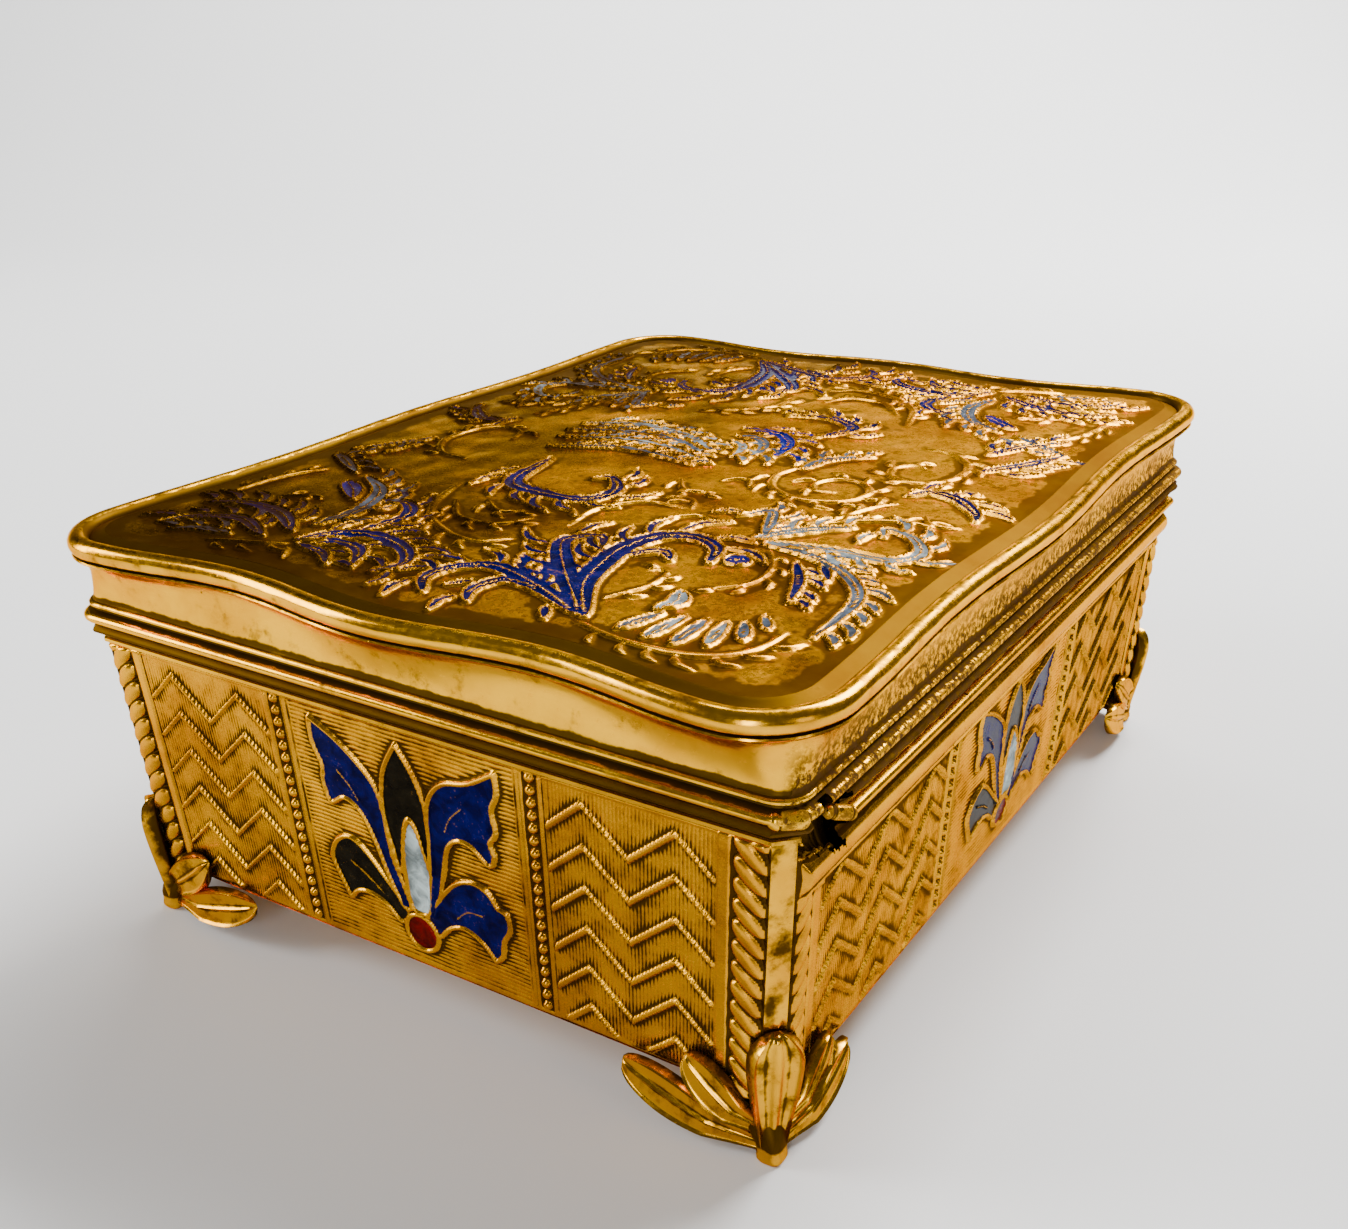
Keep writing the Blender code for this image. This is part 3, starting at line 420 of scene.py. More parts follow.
giltLooks = {
    "wallGilt": dict(bright=(0.80, 0.375, 0.004, 1), deep=(0.46, 0.175, 0.001, 1),
                     patina=(0.012, 0.005, 0.001, 1),
                     gloss=0.24, pits=0.6, dirt=0.16, grain=0.25, enamel=True, wear=0.12),
    "frameGilt": dict(bright=(0.88, 0.45, 0.008, 1), deep=(0.62, 0.27, 0.002, 1),
                      patina=(0.010, 0.004, 0.001, 1),
                      gloss=0.16, pits=0.6, dirt=0.14, grain=0.12, dust=0.8),
    "lidSideGilt": dict(bright=(1.0, 0.50, 0.004, 1), deep=(0.72, 0.31, 0.002, 1),
                        patina=(0.010, 0.004, 0.001, 1),
                        gloss=0.19, pits=0.9, dirt=0.24, grain=0.16, dust=1.0),
    "lidTopGilt": dict(bright=(0.92, 0.42, 0.004, 1), deep=(0.44, 0.145, 0.002, 1),
                       patina=(0.010, 0.004, 0.001, 1),
                       gloss=0.25, pits=1.0, dirt=0.75, grain=0.30, enamel=True, wear=0.35, tarnishAndLeftShade=0.85),
    "footGilt": dict(bright=(0.80, 0.40, 0.006, 1), deep=(0.55, 0.23, 0.002, 1),
                     patina=(0.012, 0.005, 0.001, 1),
                     gloss=0.18, pits=0.5, dirt=0.14, grain=0.12),
}
gilt = {name: giltMaterial(name, look) for name, look in giltLooks.items()}
print("materials ready")


# Walls

flowerLook = dict(rim=0.38, rise=0.45, floor=0.16, seed=2.1, seedRing=2.8, seedAt=12.0)
tints = {
    "blue": (0.0012, 0.0010, 0.060), "olive": (0.0075, 0.0055, 0.0022), "white": (0.36, 0.43, 0.42),
    "red": (0.13, 0.002, 0.0015),
}
petals = [
    dict(tint="white", tips=(5,), points=[(-2.0, 15.2), (-2.5, 19), (-2.3, 23), (-1.6, 26), (-1.1, 27.0),
         (-0.6, 27.6), (0.6, 25.6), (1.5, 22), (1.5, 18.5), (0.6, 15.2)]),
    dict(tint="olive", tips=(4,),
         points=[(-3.0, 20), (-4.0, 23.5), (-4.5, 28), (-3.6, 33), (-1.2, 37.0), (0.8, 33.8),
         (2.0, 30), (2.0, 26), (1.7, 21), (0.4, 25.8), (-0.6, 27.6), (-1.6, 26.2)]),
    dict(tint="blue", tips=(0, 9), points=[(-14.0, 37.2), (-10.5, 35.4), (-7.4, 33), (-5.2, 30.4), (-4.5, 27),
         (-4.2, 22), (-3.2, 18.5), (-2.3, 15.0), (-3.6, 15.0), (-3.9, 15.6), (-5.2, 18.5), (-6.6, 23),
         (-8.2, 26.4),
         (-10.4, 27.6), (-12.8, 26.4), (-13.5, 29), (-13.2, 31.2), (-14.1, 34)]),
    dict(tint="blue", tips=(0, 8),
         points=[(12.4, 37.2), (8.6, 34.9), (5.0, 33.8), (3.0, 31.8), (2.1, 29), (1.9, 25),
         (1.4, 20), (0.6, 15.8), (1.3, 15.0), (2.6, 18.4), (3.6, 22), (4.6, 25.4), (6.2, 26.9), (8.2, 26.8),
         (10.6, 25.0), (11.4, 26.6), (10.9, 28), (11.9, 29.6), (11.6, 32.4), (12.5, 34.6)]),
    dict(tint="olive", tips=(8,),
         points=[(-2.9, 14.4), (-5.6, 17.8), (-8.3, 20.8), (-10.6, 22.2), (-12.9, 21.3),
         (-14.3, 19), (-14.0, 17.2), (-13.1, 15.0), (-12.4, 13.3), (-10.9, 14.7), (-8.7, 15.1), (-6.4, 14.3),
         (-4.3, 12.6)]),
    dict(tint="blue", tips=(10,), points=[(0.1, 14.6), (2.3, 17.8), (5.0, 20.8), (7.8, 21.9), (9.9, 21.2),
         (11.1, 19.6), (12.3, 19.2), (12.5, 17), (11.5, 15.2), (11.1, 13), (10.0, 12.0), (8.4, 13.9),
         (5.8, 15.0),
         (3.5, 14.2), (1.3, 12.3)]),
]
veins = [
    [(-10.8, 31.2), (-9.2, 29.6), (-8.2, 27.9)], [(7.4, 31.4), (5.6, 29.6), (4.6, 27.6)],
    [(-11.2, 18.9), (-8.8, 17.6), (-6.6, 15.9)], [(4.8, 16.1), (6.6, 17.6), (8.8, 17.8)],
]
flowerAxis = -1.2


# Height, distance into the enamel, and tint of the flower. squeeze shortens it for a lower panel.
def flowerRelief(u, v, squeeze):
    u = u + flowerAxis
    v = flowerLook["seedAt"] + (v - flowerLook["seedAt"]) / squeeze
    cell = np.full(u.shape, -9.0)
    tint = np.zeros(u.shape + (3,))
    rim = np.full(u.shape, 9.0)
    for petal in petals:
        outline = curveThrough(petal["points"], 0.5, True, petal["tips"])
        depth = distanceTo(outline, u, v, True)
        tint[depth > cell] = tints[petal["tint"]]
        cell = np.maximum(cell, depth)
        rim = np.minimum(rim, np.abs(depth))
    for vein in veins:
        away = distanceTo(curveThrough(vein, 0.5), u, v)
        cell = np.minimum(cell, np.maximum(away, 0.0) + flowerLook["rim"] - 0.13)
        rim = np.minimum(rim, away + 0.16)
    away = np.hypot(u - flowerAxis, v - flowerLook["seedAt"])
    middle = (flowerLook["seed"] + flowerLook["seedRing"]) / 2
    inSeed = away < flowerLook["seedRing"]
    tint[inSeed] = tints["red"]
    cell = np.where(inSeed, middle - away, cell)
    rim = np.where(inSeed, np.abs(away - middle), np.minimum(rim, np.abs(away - middle)))
    edge = flowerLook["rim"]
    height = flowerLook["rise"] * ease(edge, edge * 0.35, rim)
    height = np.maximum(height, flowerLook["floor"] * ease(0.0, edge, cell))
    return height, cell - edge * 0.72, tint


wallLooks = {
    "short": dict(zigzagFrom=20.0, zigzagTo=40.3, peakAt=24.6, period=11.1, firstRow=36.8, rowStep=5.18,
                  rows=6,
                  rise=4.9, beadAt=18.2, fillet=(40.5, 42.1), rope=(42.3, 46.0), squeeze=1.0, top=39.0),
    "long": dict(zigzagFrom=22.6, zigzagTo=54.7, peakAt=26.8, period=11.72, firstRow=31.3, rowStep=5.22,
                 rows=5,
                 rise=4.9, beadAt=20.9, fillet=(55.0, 57.0), rope=(57.3, 60.2), squeeze=0.78, top=31.6),
}
chasing = dict(
    relief=0.42, broadHalf=0.46, narrowHalf=0.24, groove=0.16, ribDepth=0.10, uprightRib=0.46, levelRib=0.56,
    bead=0.60, beadStep=1.56, beadSunk=0.1, ropeStep=2.5, ropeRise=0.85, ropeSlant=1.35, ropeBend=0.3,
    ropeGroove=0.18, plainRope=0.35, panelFoot=0.5, panelHead=0.35, panelEdge=0.2, zigzagEdge=0.12,
    bandInner=2.2, bandOuter=1.7, bandDepth=0.18, filletRise=0.32, topLineRise=0.30, edgeSunk=-0.3,
    bandFillets=((1.28, 0.26, 0.34), (-1.22, 0.13, 0.20), (-1.62, 0.16, 0.26)),  # place, half width, rise
)


# Rows of zigzag: on each row the height falls with the distance across its line. Strokes that rise
# towards a peak from the wall's middle side are broad, and the others are narrow with a groove above.
def zigzagRelief(look, u, v):
    turn = (u - look["peakAt"]) / look["period"]
    phase = turn - np.floor(turn + 0.5)
    drop = np.abs(phase) * 2 * look["rise"]
    broad = phase < 0
    half = np.where(broad, chasing["broadHalf"], chasing["narrowHalf"])
    slope = math.cos(math.atan(2 * look["rise"] / look["period"]))
    height = np.zeros(u.shape)
    for row in range(look["rows"] + 1):
        away = (v - look["firstRow"] + look["rowStep"] * row + drop) * slope
        stroke = ease(1.0, 0.45, np.abs(away) / half)
        groove = np.exp(-((away - half - 0.2) / 0.16) ** 2) * (stroke < 0.5)
        height = np.maximum(height, chasing["relief"] * stroke) - chasing["groove"] * groove
    return height


# A rope: lobes along v whose crest slants outwards and down, round in section across the strip.
def ropeRelief(look, u, v):
    low, high = look["rope"]
    across = (u - (low + high) / 2) / ((high - low) / 2)
    turn = (v + chasing["ropeSlant"] * across + chasing["ropeBend"] * across ** 2) / chasing["ropeStep"]
    phase = 2 * (turn - np.floor(turn + 0.5))
    lobe = np.sqrt(np.clip(1 - 0.90 * across ** 2 - 0.72 * phase ** 2, 0, 1))
    return chasing["ropeRise"] * lobe - chasing["ropeGroove"] * (np.abs(across) < 1) * (lobe < 0.3)


railLook = dict(at=[31.4, 31.65, 31.95, 32.3, 32.8, 33.6, 34.5, 35.4, 36.1, 36.5, 36.8, 37.3, 37.9, 38.4,
                    38.8, 39.0],
                rise=[0, 0.5, 0.5, 0.25, 0.65, 1.3, 1.5, 1.3, 0.65, 0.2, 0.2, 1.15, 1.75, 1.7, 1.2, 0.7])


# Height above the wall's plane, enamel distance and tint, at each place of one wall.
def wallRelief(kind, u, v, rich):
    look = wallLooks[kind]
    side = np.abs(u)
    height = np.zeros(u.shape)
    low, high = boxShape["wallBottom"] + chasing["panelFoot"], look["top"] - chasing["panelHead"]
    inPanel = ease(low, low + chasing["panelEdge"], v) * ease(high, high - chasing["panelEdge"], v)
    zone = ease(look["zigzagFrom"], look["zigzagFrom"] + chasing["zigzagEdge"], side)
    zone = zone * ease(look["zigzagTo"], look["zigzagTo"] - chasing["zigzagEdge"], side)
    wander = softNoise(u, v, 9.0, 3) * 0.05
    ribs = 0.5 - 0.5 * np.cos((side + wander) * math.tau / chasing["uprightRib"])
    height += zone * inPanel * (zigzagRelief(look, side, v) - chasing["ribDepth"] * ribs)
    middle = ease(look["beadAt"] - chasing["bandInner"], look["beadAt"] - 2.35, side)
    ribs = 0.5 - 0.5 * np.cos((v + softNoise(u, v, 14.0, 5) * 0.12) * math.tau / chasing["levelRib"])
    height -= middle * inPanel * chasing["ribDepth"] * 1.2 * ribs
    strip = np.abs(side - look["beadAt"])
    height -= chasing["bandDepth"] * ease(1.05, 0.95, strip) * inPanel
    if rich:
        along = (v - low) / chasing["beadStep"]
        away = np.hypot(side - look["beadAt"], (along - np.floor(along) - 0.5) * chasing["beadStep"])
        bead = np.sqrt(np.clip(chasing["bead"] ** 2 - away ** 2, 0, None))
        height = np.where((bead > 0) & (inPanel > 0.5), bead - chasing["beadSunk"], height)
    for at, half, rise in chasing["bandFillets"]:
        height += rise * ease(half, half * 0.5, np.abs(side - look["beadAt"] - at)) * inPanel
    fillet = look["fillet"]
    filletTop = ease(fillet[0], fillet[0] + 0.2, side)
    height += chasing["filletRise"] * filletTop * ease(fillet[1], fillet[1] - 0.2, side)
    inRope = (side > look["rope"][0]) & (side < look["rope"][1])
    rope = ropeRelief(look, side, v) if rich else chasing["plainRope"] * np.ones(u.shape)
    height = np.where(inRope, rope, height)
    topLine = np.exp(-((v - look["top"] + 0.12) / 0.16) ** 2)
    height += chasing["topLineRise"] * topLine * (side < look["rope"][0])
    petal, cell, tint = flowerRelief(u, v, look["squeeze"])
    inFlower = side < look["beadAt"] - 2.0
    covered = inFlower & ((petal > 0.02) | (cell > -0.1))
    height = np.where(covered, petal, height)
    cell = np.where(inFlower, cell, -9.0)
    if kind == "long":
        rail = np.interp(v, railLook["at"], railLook["rise"]) * ease(60.42, 59.8, side)
        height = np.where(v > look["top"], rail, height)
        cell = np.where(v > look["top"], -9.0, cell)
    return height, cell, tint


# Puts a wall's (u, v, height) in space: the wall leans, narrows towards its foot, and faces one of four
# ways.
def wallPlace(turn, u, v, height):
    along, away = (halfDepth, halfWidth) if turn % 2 else (halfWidth, halfDepth)
    lean = leanAt(v)
    x, y = u * (1 - lean / along), -(away - lean) - height
    cos, sin = round(math.cos(turn * math.pi / 2)), round(math.sin(turn * math.pi / 2))
    return np.stack([x * cos - y * sin, x * sin + y * cos, v + 0 * x], axis=-1)


breakShape = dict(low=37.3, slope=0.34, start=1.9, end=9.4, depth=1.45)


# Lower edge of the hole: it falls slowly away from the corner, with three sine waves that make it ragged.
def breakEdge(along):
    ragged = 0.20 * np.sin(along * 2.3) + 0.14 * np.sin(along * 5.9 + 1.0) + 0.08 * np.sin(along * 13.0)
    return breakShape["low"] - breakShape["slope"] * (along - 1.5) + ragged


# True inside the ragged hole near the front end of the right wall.
def brokenOut(turn, u, v):
    if turn != 1:
        return np.zeros(u.shape, bool)
    along = u + halfDepth
    ends = 0.25 * np.sin(v * 3.1) + 0.12 * np.sin(v * 7.7)
    return (v > breakEdge(along)) & (along > breakShape["start"] + ends) & (along < breakShape["end"] + ends)


# One grid of a wall's surface, with its edges turned back into the wall.
def wallStrip(turn, kind, uLines, vLines, rich):
    u, v = np.meshgrid(uLines, vLines)
    height, cell, tint = wallRelief(kind, u, v, rich)
    height[0], height[-1] = chasing["edgeSunk"], chasing["edgeSunk"]
    points = wallPlace(turn, u, v, height)
    hollow = hollowness(height, 3) + 0.6 * hollowness(height, 7)
    quads = quadGrid(len(vLines), len(uLines))
    keep = ~brokenOut(turn, u, v).ravel()[quads[:, 0]]
    direction = wallPlace(turn, np.array([0.0]), np.array([20.0]), np.array([1.0]))[0] * (1, 1, 0)
    return part(points, quads[keep], direction, hollow=hollow.ravel(), cell=cell.ravel(),
                tint=tint.reshape(-1, 3))


# Evenly spaced values from start to end, as near to step apart as whole steps allow.
def lines(start, end, step):
    return np.linspace(start, end, max(2, int(round(abs(end - start) / step)) + 1))


# A wall as seven grids side by side, each with its lines as close as its own pattern needs.
def buildWall(name, turn, rich, fine):
    kind = "long" if turn % 2 else "short"
    look = wallLooks[kind]
    low, high = boxShape["wallBottom"], boxShape["wallTop"] - 0.02
    end = (halfDepth if turn % 2 else halfWidth) - boxShape["cornerFlat"]
    bead, fillet = look["beadAt"], look["fillet"][0]
    inner, outer = bead - chasing["bandInner"], bead + chasing["bandOuter"]
    strips = []
    for side in (-1, 1):
        for start, stop, acrossStep, upStep in (
                (fillet, end, 0.17, 0.17), (outer, fillet, 0.115, 0.22), (inner, outer, 0.14, 0.15)):
            uLines = side * lines(start, stop, acrossStep * fine)
            strips.append(wallStrip(turn, kind, uLines, lines(low, high, upStep * fine), rich))
    uLines = lines(-bead + chasing["bandInner"], inner, 0.2 * fine)
    strips.append(wallStrip(turn, kind, uLines, lines(low, high, 0.13 * fine), rich))
    return buildPiece(name, strips, gilt["wallGilt"], ["body"])


buildWall("frontWall", 0, True, 1.15)
buildWall("rightWall", 1, True, 1.42)
buildWall("backWall", 2, False, 2.4)
buildWall("leftWall", 3, False, 2.5)


# The body between and inside the walls

frameLook = dict(
    rings=[(39.0, 0.0), (39.08, 0.42), (39.5, 0.45), (39.62, 0.3), (39.72, 0.18), (40.0, 0.35), (40.25, 0.85),
           (40.5, 1.3), (40.65, 1.45), (40.9, 1.5), (41.05, 1.4), (41.25, 1.2), (41.4, 1.05), (41.4, -0.8),
           (44.4, -0.8), (44.4, -2.25), (41.4, -2.25), (40.6, -2.25), (38.4, -1.8), (23.0, -1.8), (8.9, -1.8),
           (8.8, -2.0)],
    fuzzAt=39.9, fuzzTall=1.25, fuzzOut=0.95,
)


# The eight-cornered outline of the body at height z, moved out by out, anticlockwise from the front.
def cornerOutline(z, out):
    lean = min(max(leanAt(z), 0.0), boxShape["lean"]) if z < boxShape["wallTop"] else 0.0
    flat, grow = boxShape["cornerFlat"], out * (math.sqrt(2) - 1)
    x, y = halfWidth - lean + out, halfDepth - lean + out
    cx = (halfWidth - flat) * (1 - lean / halfWidth) + grow
    cy = (halfDepth - flat) * (1 - lean / halfDepth) + grow
    return np.array([(-cx, -y), (cx, -y), (x, -cy), (x, cy), (cx, y), (-cx, y), (-x, cy), (-x, -cy)])


# Extra points along each side of an outline, the same count on every ring so that rings join.
def aroundOutline(outline, counts):
    nextOnes = np.roll(outline, -1, 0)
    pieces = [outline[i] + (nextOnes[i] - outline[i]) * (np.arange(n) / n)[:, None] for i,
              n in enumerate(counts)]
    return np.concatenate(pieces)


# A flat cap over a closed ring of points, as rings of quads that shrink towards the middle.
def flatCap(outline, z, upward):
    rings = [np.column_stack([outline * s, np.full(len(outline), z)]) for s in (1.0, 0.66, 0.33, 0.004)]
    points = np.concatenate(rings)
    return part(points, quadGrid(len(rings), len(outline), True), (0, 0, 1 if upward else -1), hollow=0.0)


# Rim, seat, collar, interior and underside as rings of points joined one to the next, and corner flats.
def buildFrame():
    counts = [120, 4, 160, 4, 120, 4, 160, 4]
    rings, hollow = [], []
    for z, out in frameLook["rings"]:
        around = aroundOutline(cornerOutline(z, out), counts)
        fade = math.exp(-((z - frameLook["fuzzAt"]) / frameLook["fuzzTall"]) ** 2)
        bulge = frameLook["fuzzOut"] * fade * (out > 0)
        right = (around[:, 0] > halfWidth - 0.2) & (np.abs(around[:, 1]) < halfDepth - 2.5)
        clump = 0.75 + 0.25 * softNoise(around[:, 1], np.full(len(around), z * 2), 5.0, 31)
        around[:, 0] += right * bulge * clump * ease(-halfDepth + 8.6, -halfDepth + 10.2, around[:, 1])
        rings.append(np.column_stack([around, np.full(len(around), z)]))
        # Painted shade: the recess between the wall top and the lid's seat is darkened, the collar under the
        # lid more, and the inside of the box a little.
        sunk = 0.5 * (39.65 < z < 41.45) + 0.4 * (z > 41.3) * (out < 1.0) + 0.12 * (z < 39) * (out < -1)
        hollow.append(np.full(len(around), sunk))
    points = np.concatenate(rings)
    total = sum(counts)
    quads = quadGrid(len(rings), total, True)
    middle = points[quads].mean(1)
    along = middle[:, 1] + halfDepth
    ragged = 0.25 * np.sin(along * 5.9) + 0.3 * np.sin(along * 2.3)
    inBreak = (middle[:, 0] > halfWidth - 1.6) & (along > breakShape["start"] + 0.3 + ragged) & (
        along < breakShape["end"] - 0.2 + ragged) & (middle[:, 2] < 41.2)
    nearlyOut = (middle[:, 0] > halfWidth - 0.1) & inBreak
    outer = part(points[:14 * total], quads[:13 * total][~nearlyOut[:13 * total]], [(0, 0, 41.0)],
                 hollow=np.concatenate(hollow[:14]))
    collar = part(points[13 * total:16 * total], quads[13 * total:15 * total] - 13 * total, [(0, 0, 30.0)],
                  hollow=np.concatenate(hollow[13:16]))
    inner = part(points[15 * total:], quads[15 * total:] - 15 * total, [(0, 0, 25.0)],
                 hollow=np.concatenate(hollow[15:]))
    inner["quads"] = inner["quads"][:, ::-1]
    parts = [outer, collar, inner]
    parts.append(flatCap(rings[-1][:, :2], boxShape["floorTop"], True))
    parts.append(flatCap(cornerOutline(boxShape["wallBottom"], 0.0), boxShape["wallBottom"], False))
    z = lines(boxShape["wallBottom"], boxShape["wallTop"], 0.4)
    for corner in (1, 3, 5, 7):
        edge = np.array([cornerOutline(level, 0.0)[[corner, (corner + 1) % 8]] for level in z])
        across = np.linspace(0, 1, 9)[None, :, None]
        flat = edge[:, :1] * (1 - across) + edge[:, 1:] * across
        out = np.sign(flat.mean((0, 1))) / math.sqrt(2)
        rise = 0.12 * softNoise(across[..., 0] * 3 + corner * 9, z[:, None], 6.0, corner)
        rise = rise * np.sin(math.pi * across[..., 0])
        flat = flat + rise[..., None] * out * 0.5
        points = np.concatenate([flat, np.broadcast_to(z[:, None, None], flat.shape[:2] + (1,))], axis=-1)
        parts.append(part(points, quadGrid(len(z), 9), (*out, 0), hollow=(0.05 - rise).ravel()))
    return buildPiece("bodyFrame", parts, gilt["frameGilt"], ["body"], 28)


buildFrame()


# The ragged socket behind the missing piece of the right wall: a curved sheet sunk into the wall, painted
# nearly black as the shade inside the hole, with a thick bright lower edge.
def buildBreak():
    y = lines(-halfDepth + breakShape["start"], -halfDepth + 10.3, 0.12)
    depth = np.linspace(0, 1, 20)
    along, t = np.meshgrid(y, depth)
    s = along + halfDepth
    low = breakEdge(s) - 0.25
    z = low + (41.3 - low) * t
    sunk = breakShape["depth"] * np.sin(math.pi * np.clip(t * 1.1, 0, 1)) ** 0.6
    x = halfWidth - 0.15 - sunk - leanAt(np.minimum(z, 39.0)) * (z < 39)
    # The socket is painted dark as the shade inside the hole.
    socket = part(np.stack([x, along, z], -1), quadGrid(len(depth), len(y)), (1, 0, 0), hollow=0.9)
    angle = np.linspace(0, math.tau, 11)[:-1]
    lineY = y[y < -halfDepth + breakShape["end"] + 0.3][:, None]
    s = lineY + halfDepth
    thick = 0.26 + 0.07 * np.sin(s * 3.7) + 0.05 * np.sin(s * 9.1)
    thick = thick * np.sin(math.pi * np.clip((s - 1.6) / (breakShape["end"] - 1.3), 0.02, 0.98)) ** 0.4
    level = breakEdge(s) - 0.1
    points = np.stack([halfWidth - leanAt(level) + thick * np.cos(angle) * 1.3 + 0.1, lineY + 0 * angle,
                       level + thick * np.sin(angle)], -1)
    edge = part(points, quadGrid(len(lineY), len(angle), True), [(halfWidth - 0.2, -halfDepth + 5, 35.0)],
                hollow=0.0)
    return buildPiece("wallBreak", [socket, edge], gilt["frameGilt"], ["body"])


buildBreak()


# The lid

lidLook = dict(
    corner=9.0, sharp=5.0, lipOut=2.93, waveShort=1.15, waveLong=0.55, crown=0.75, top=11.5, border=-1.2,
    rings=[
        (0.0, -0.35, 0), (0.0, 0.9, 0), (0.1, 1.35, 0), (0.3, 1.8, 0), (0.55, 2.05, 0), (0.85, 2.1, 0),
        (1.1, 2.0, 0),
        (1.3, 1.75, 0), (1.45, 1.3, 0), (1.6, 0.75, 0), (1.85, 0.68, 0), (1.98, 1.05, 0), (2.2, 1.28, 0),
        (2.45, 1.28, 0), (2.65, 1.1, 0), (2.75, 0.8, 0), (2.95, 0.72, 0), (3.6, 0.66, 0.05),
        (4.3, 0.64, 0.13),
        (5.0, 0.66, 0.22), (5.8, 0.72, 0.33), (6.6, 0.84, 0.46), (7.3, 1.02, 0.6), (7.9, 1.3, 0.74),
        (8.3, 1.62, 0.85), (8.55, 1.78, 0.9), (8.68, 1.75, 0.92), (8.78, 2.3, 0.96), (8.95, 2.75, 1),
        (9.15, 2.93, 1), (9.35, 2.85, 1), (9.46, 2.45, 1), (9.55, 2.3, 1), (9.65, 2.5, 1),
    ], rollOut=1.95, rollAt=10.55, rollRadius=1.25, rollFrom=-42, rollTo=172, around=0.62,
    field=[(10.85, 0.55, 1), (10.98, 0.2, 1), (11.12, -0.25, 1), (11.3, -0.7, 1), (11.42, -1.0, 1),
           (11.48, -1.2, 1)],
    inside=[(0, -0.35, 0), (4.0, -0.35, 0.0), (8.6, -0.35, 0.5), (9.3, -0.5, 0.7), (9.8, -1.0, 0.9),
            (10.0, -1.6, 1.0)],
    notchAt=58.7, notchHalf=0.75, notchTall=1.5,
)
lidTint = dict(navy=(0.0010, 0.0010, 0.060), cobalt=(0.0015, 0.004, 0.16), grey=(0.07, 0.09, 0.12),
               pale=(0.24, 0.28, 0.29))


# The lid's outline at one level: each side swells by a cosine, deepest in the middle and the ends, round
# quarter circles at the corners; share fades the wave in. Points anticlockwise, with their outward
# directions.
def wavedOutline(out, corner, share):
    step = lidLook["around"]
    sides = []
    for turn in range(4):
        along, away = (halfDepth, halfWidth) if turn % 2 else (halfWidth, halfDepth)
        wave = lidLook["waveLong" if turn % 2 else "waveShort"] * share
        reach = along + out - corner
        count = int(2 * along / step)
        t = np.linspace(-1, 1, count + 1)
        u = t * reach
        v = -(away + out + wave * np.cos(2 * math.pi * t))
        across = wave * 2 * math.pi / reach * np.sin(2 * math.pi * t)
        normal = np.stack([-across, -np.ones_like(t)], -1)
        angle = np.linspace(-90, 0, 13)[1:-1] * math.pi / 180
        otherWave = lidLook["waveShort" if turn % 2 else "waveLong"] * share
        radiusU, radiusV = corner + otherWave, corner + wave
        u = np.concatenate([u, reach + radiusU * np.cos(angle)])
        v = np.concatenate([v, -(away + out - corner) + radiusV * np.sin(angle)])
        normal = np.concatenate([normal, np.stack([np.cos(angle), np.sin(angle)], -1)])
        normal /= np.linalg.norm(normal, axis=1)[:, None]
        cos, sin = round(math.cos(turn * math.pi / 2)), round(math.sin(turn * math.pi / 2))
        sides.append(np.stack([u * cos - v * sin, u * sin + v * cos, normal[:, 0] * cos - normal[:, 1] * sin,
                               normal[:, 0] * sin + normal[:, 1] * cos], -1))
    return np.concatenate(sides)


# One ring of the lid at height z above its foot, moved out by out, with its outward directions.
def lidRing(z, out, share):
    corner = lidLook["sharp"] + (lidLook["corner"] - lidLook["sharp"]) * share + out - lidLook["lipOut"]
    ring = wavedOutline(out, max(corner, 0.25), share)
    return np.column_stack([ring[:, :2], np.full(len(ring), z + boxShape["lidBottom"])]), ring[:, 2:]


# The field's height: a low dome that is nought at its border.
def crownAt(x, y):
    fieldX, fieldY = halfWidth + lidLook["border"], halfDepth + lidLook["border"]
    return lidLook["crown"] * np.clip(1 - (x / fieldX) ** 2, 0, 1) * np.clip(1 - (y / fieldY) ** 2, 0, 1)


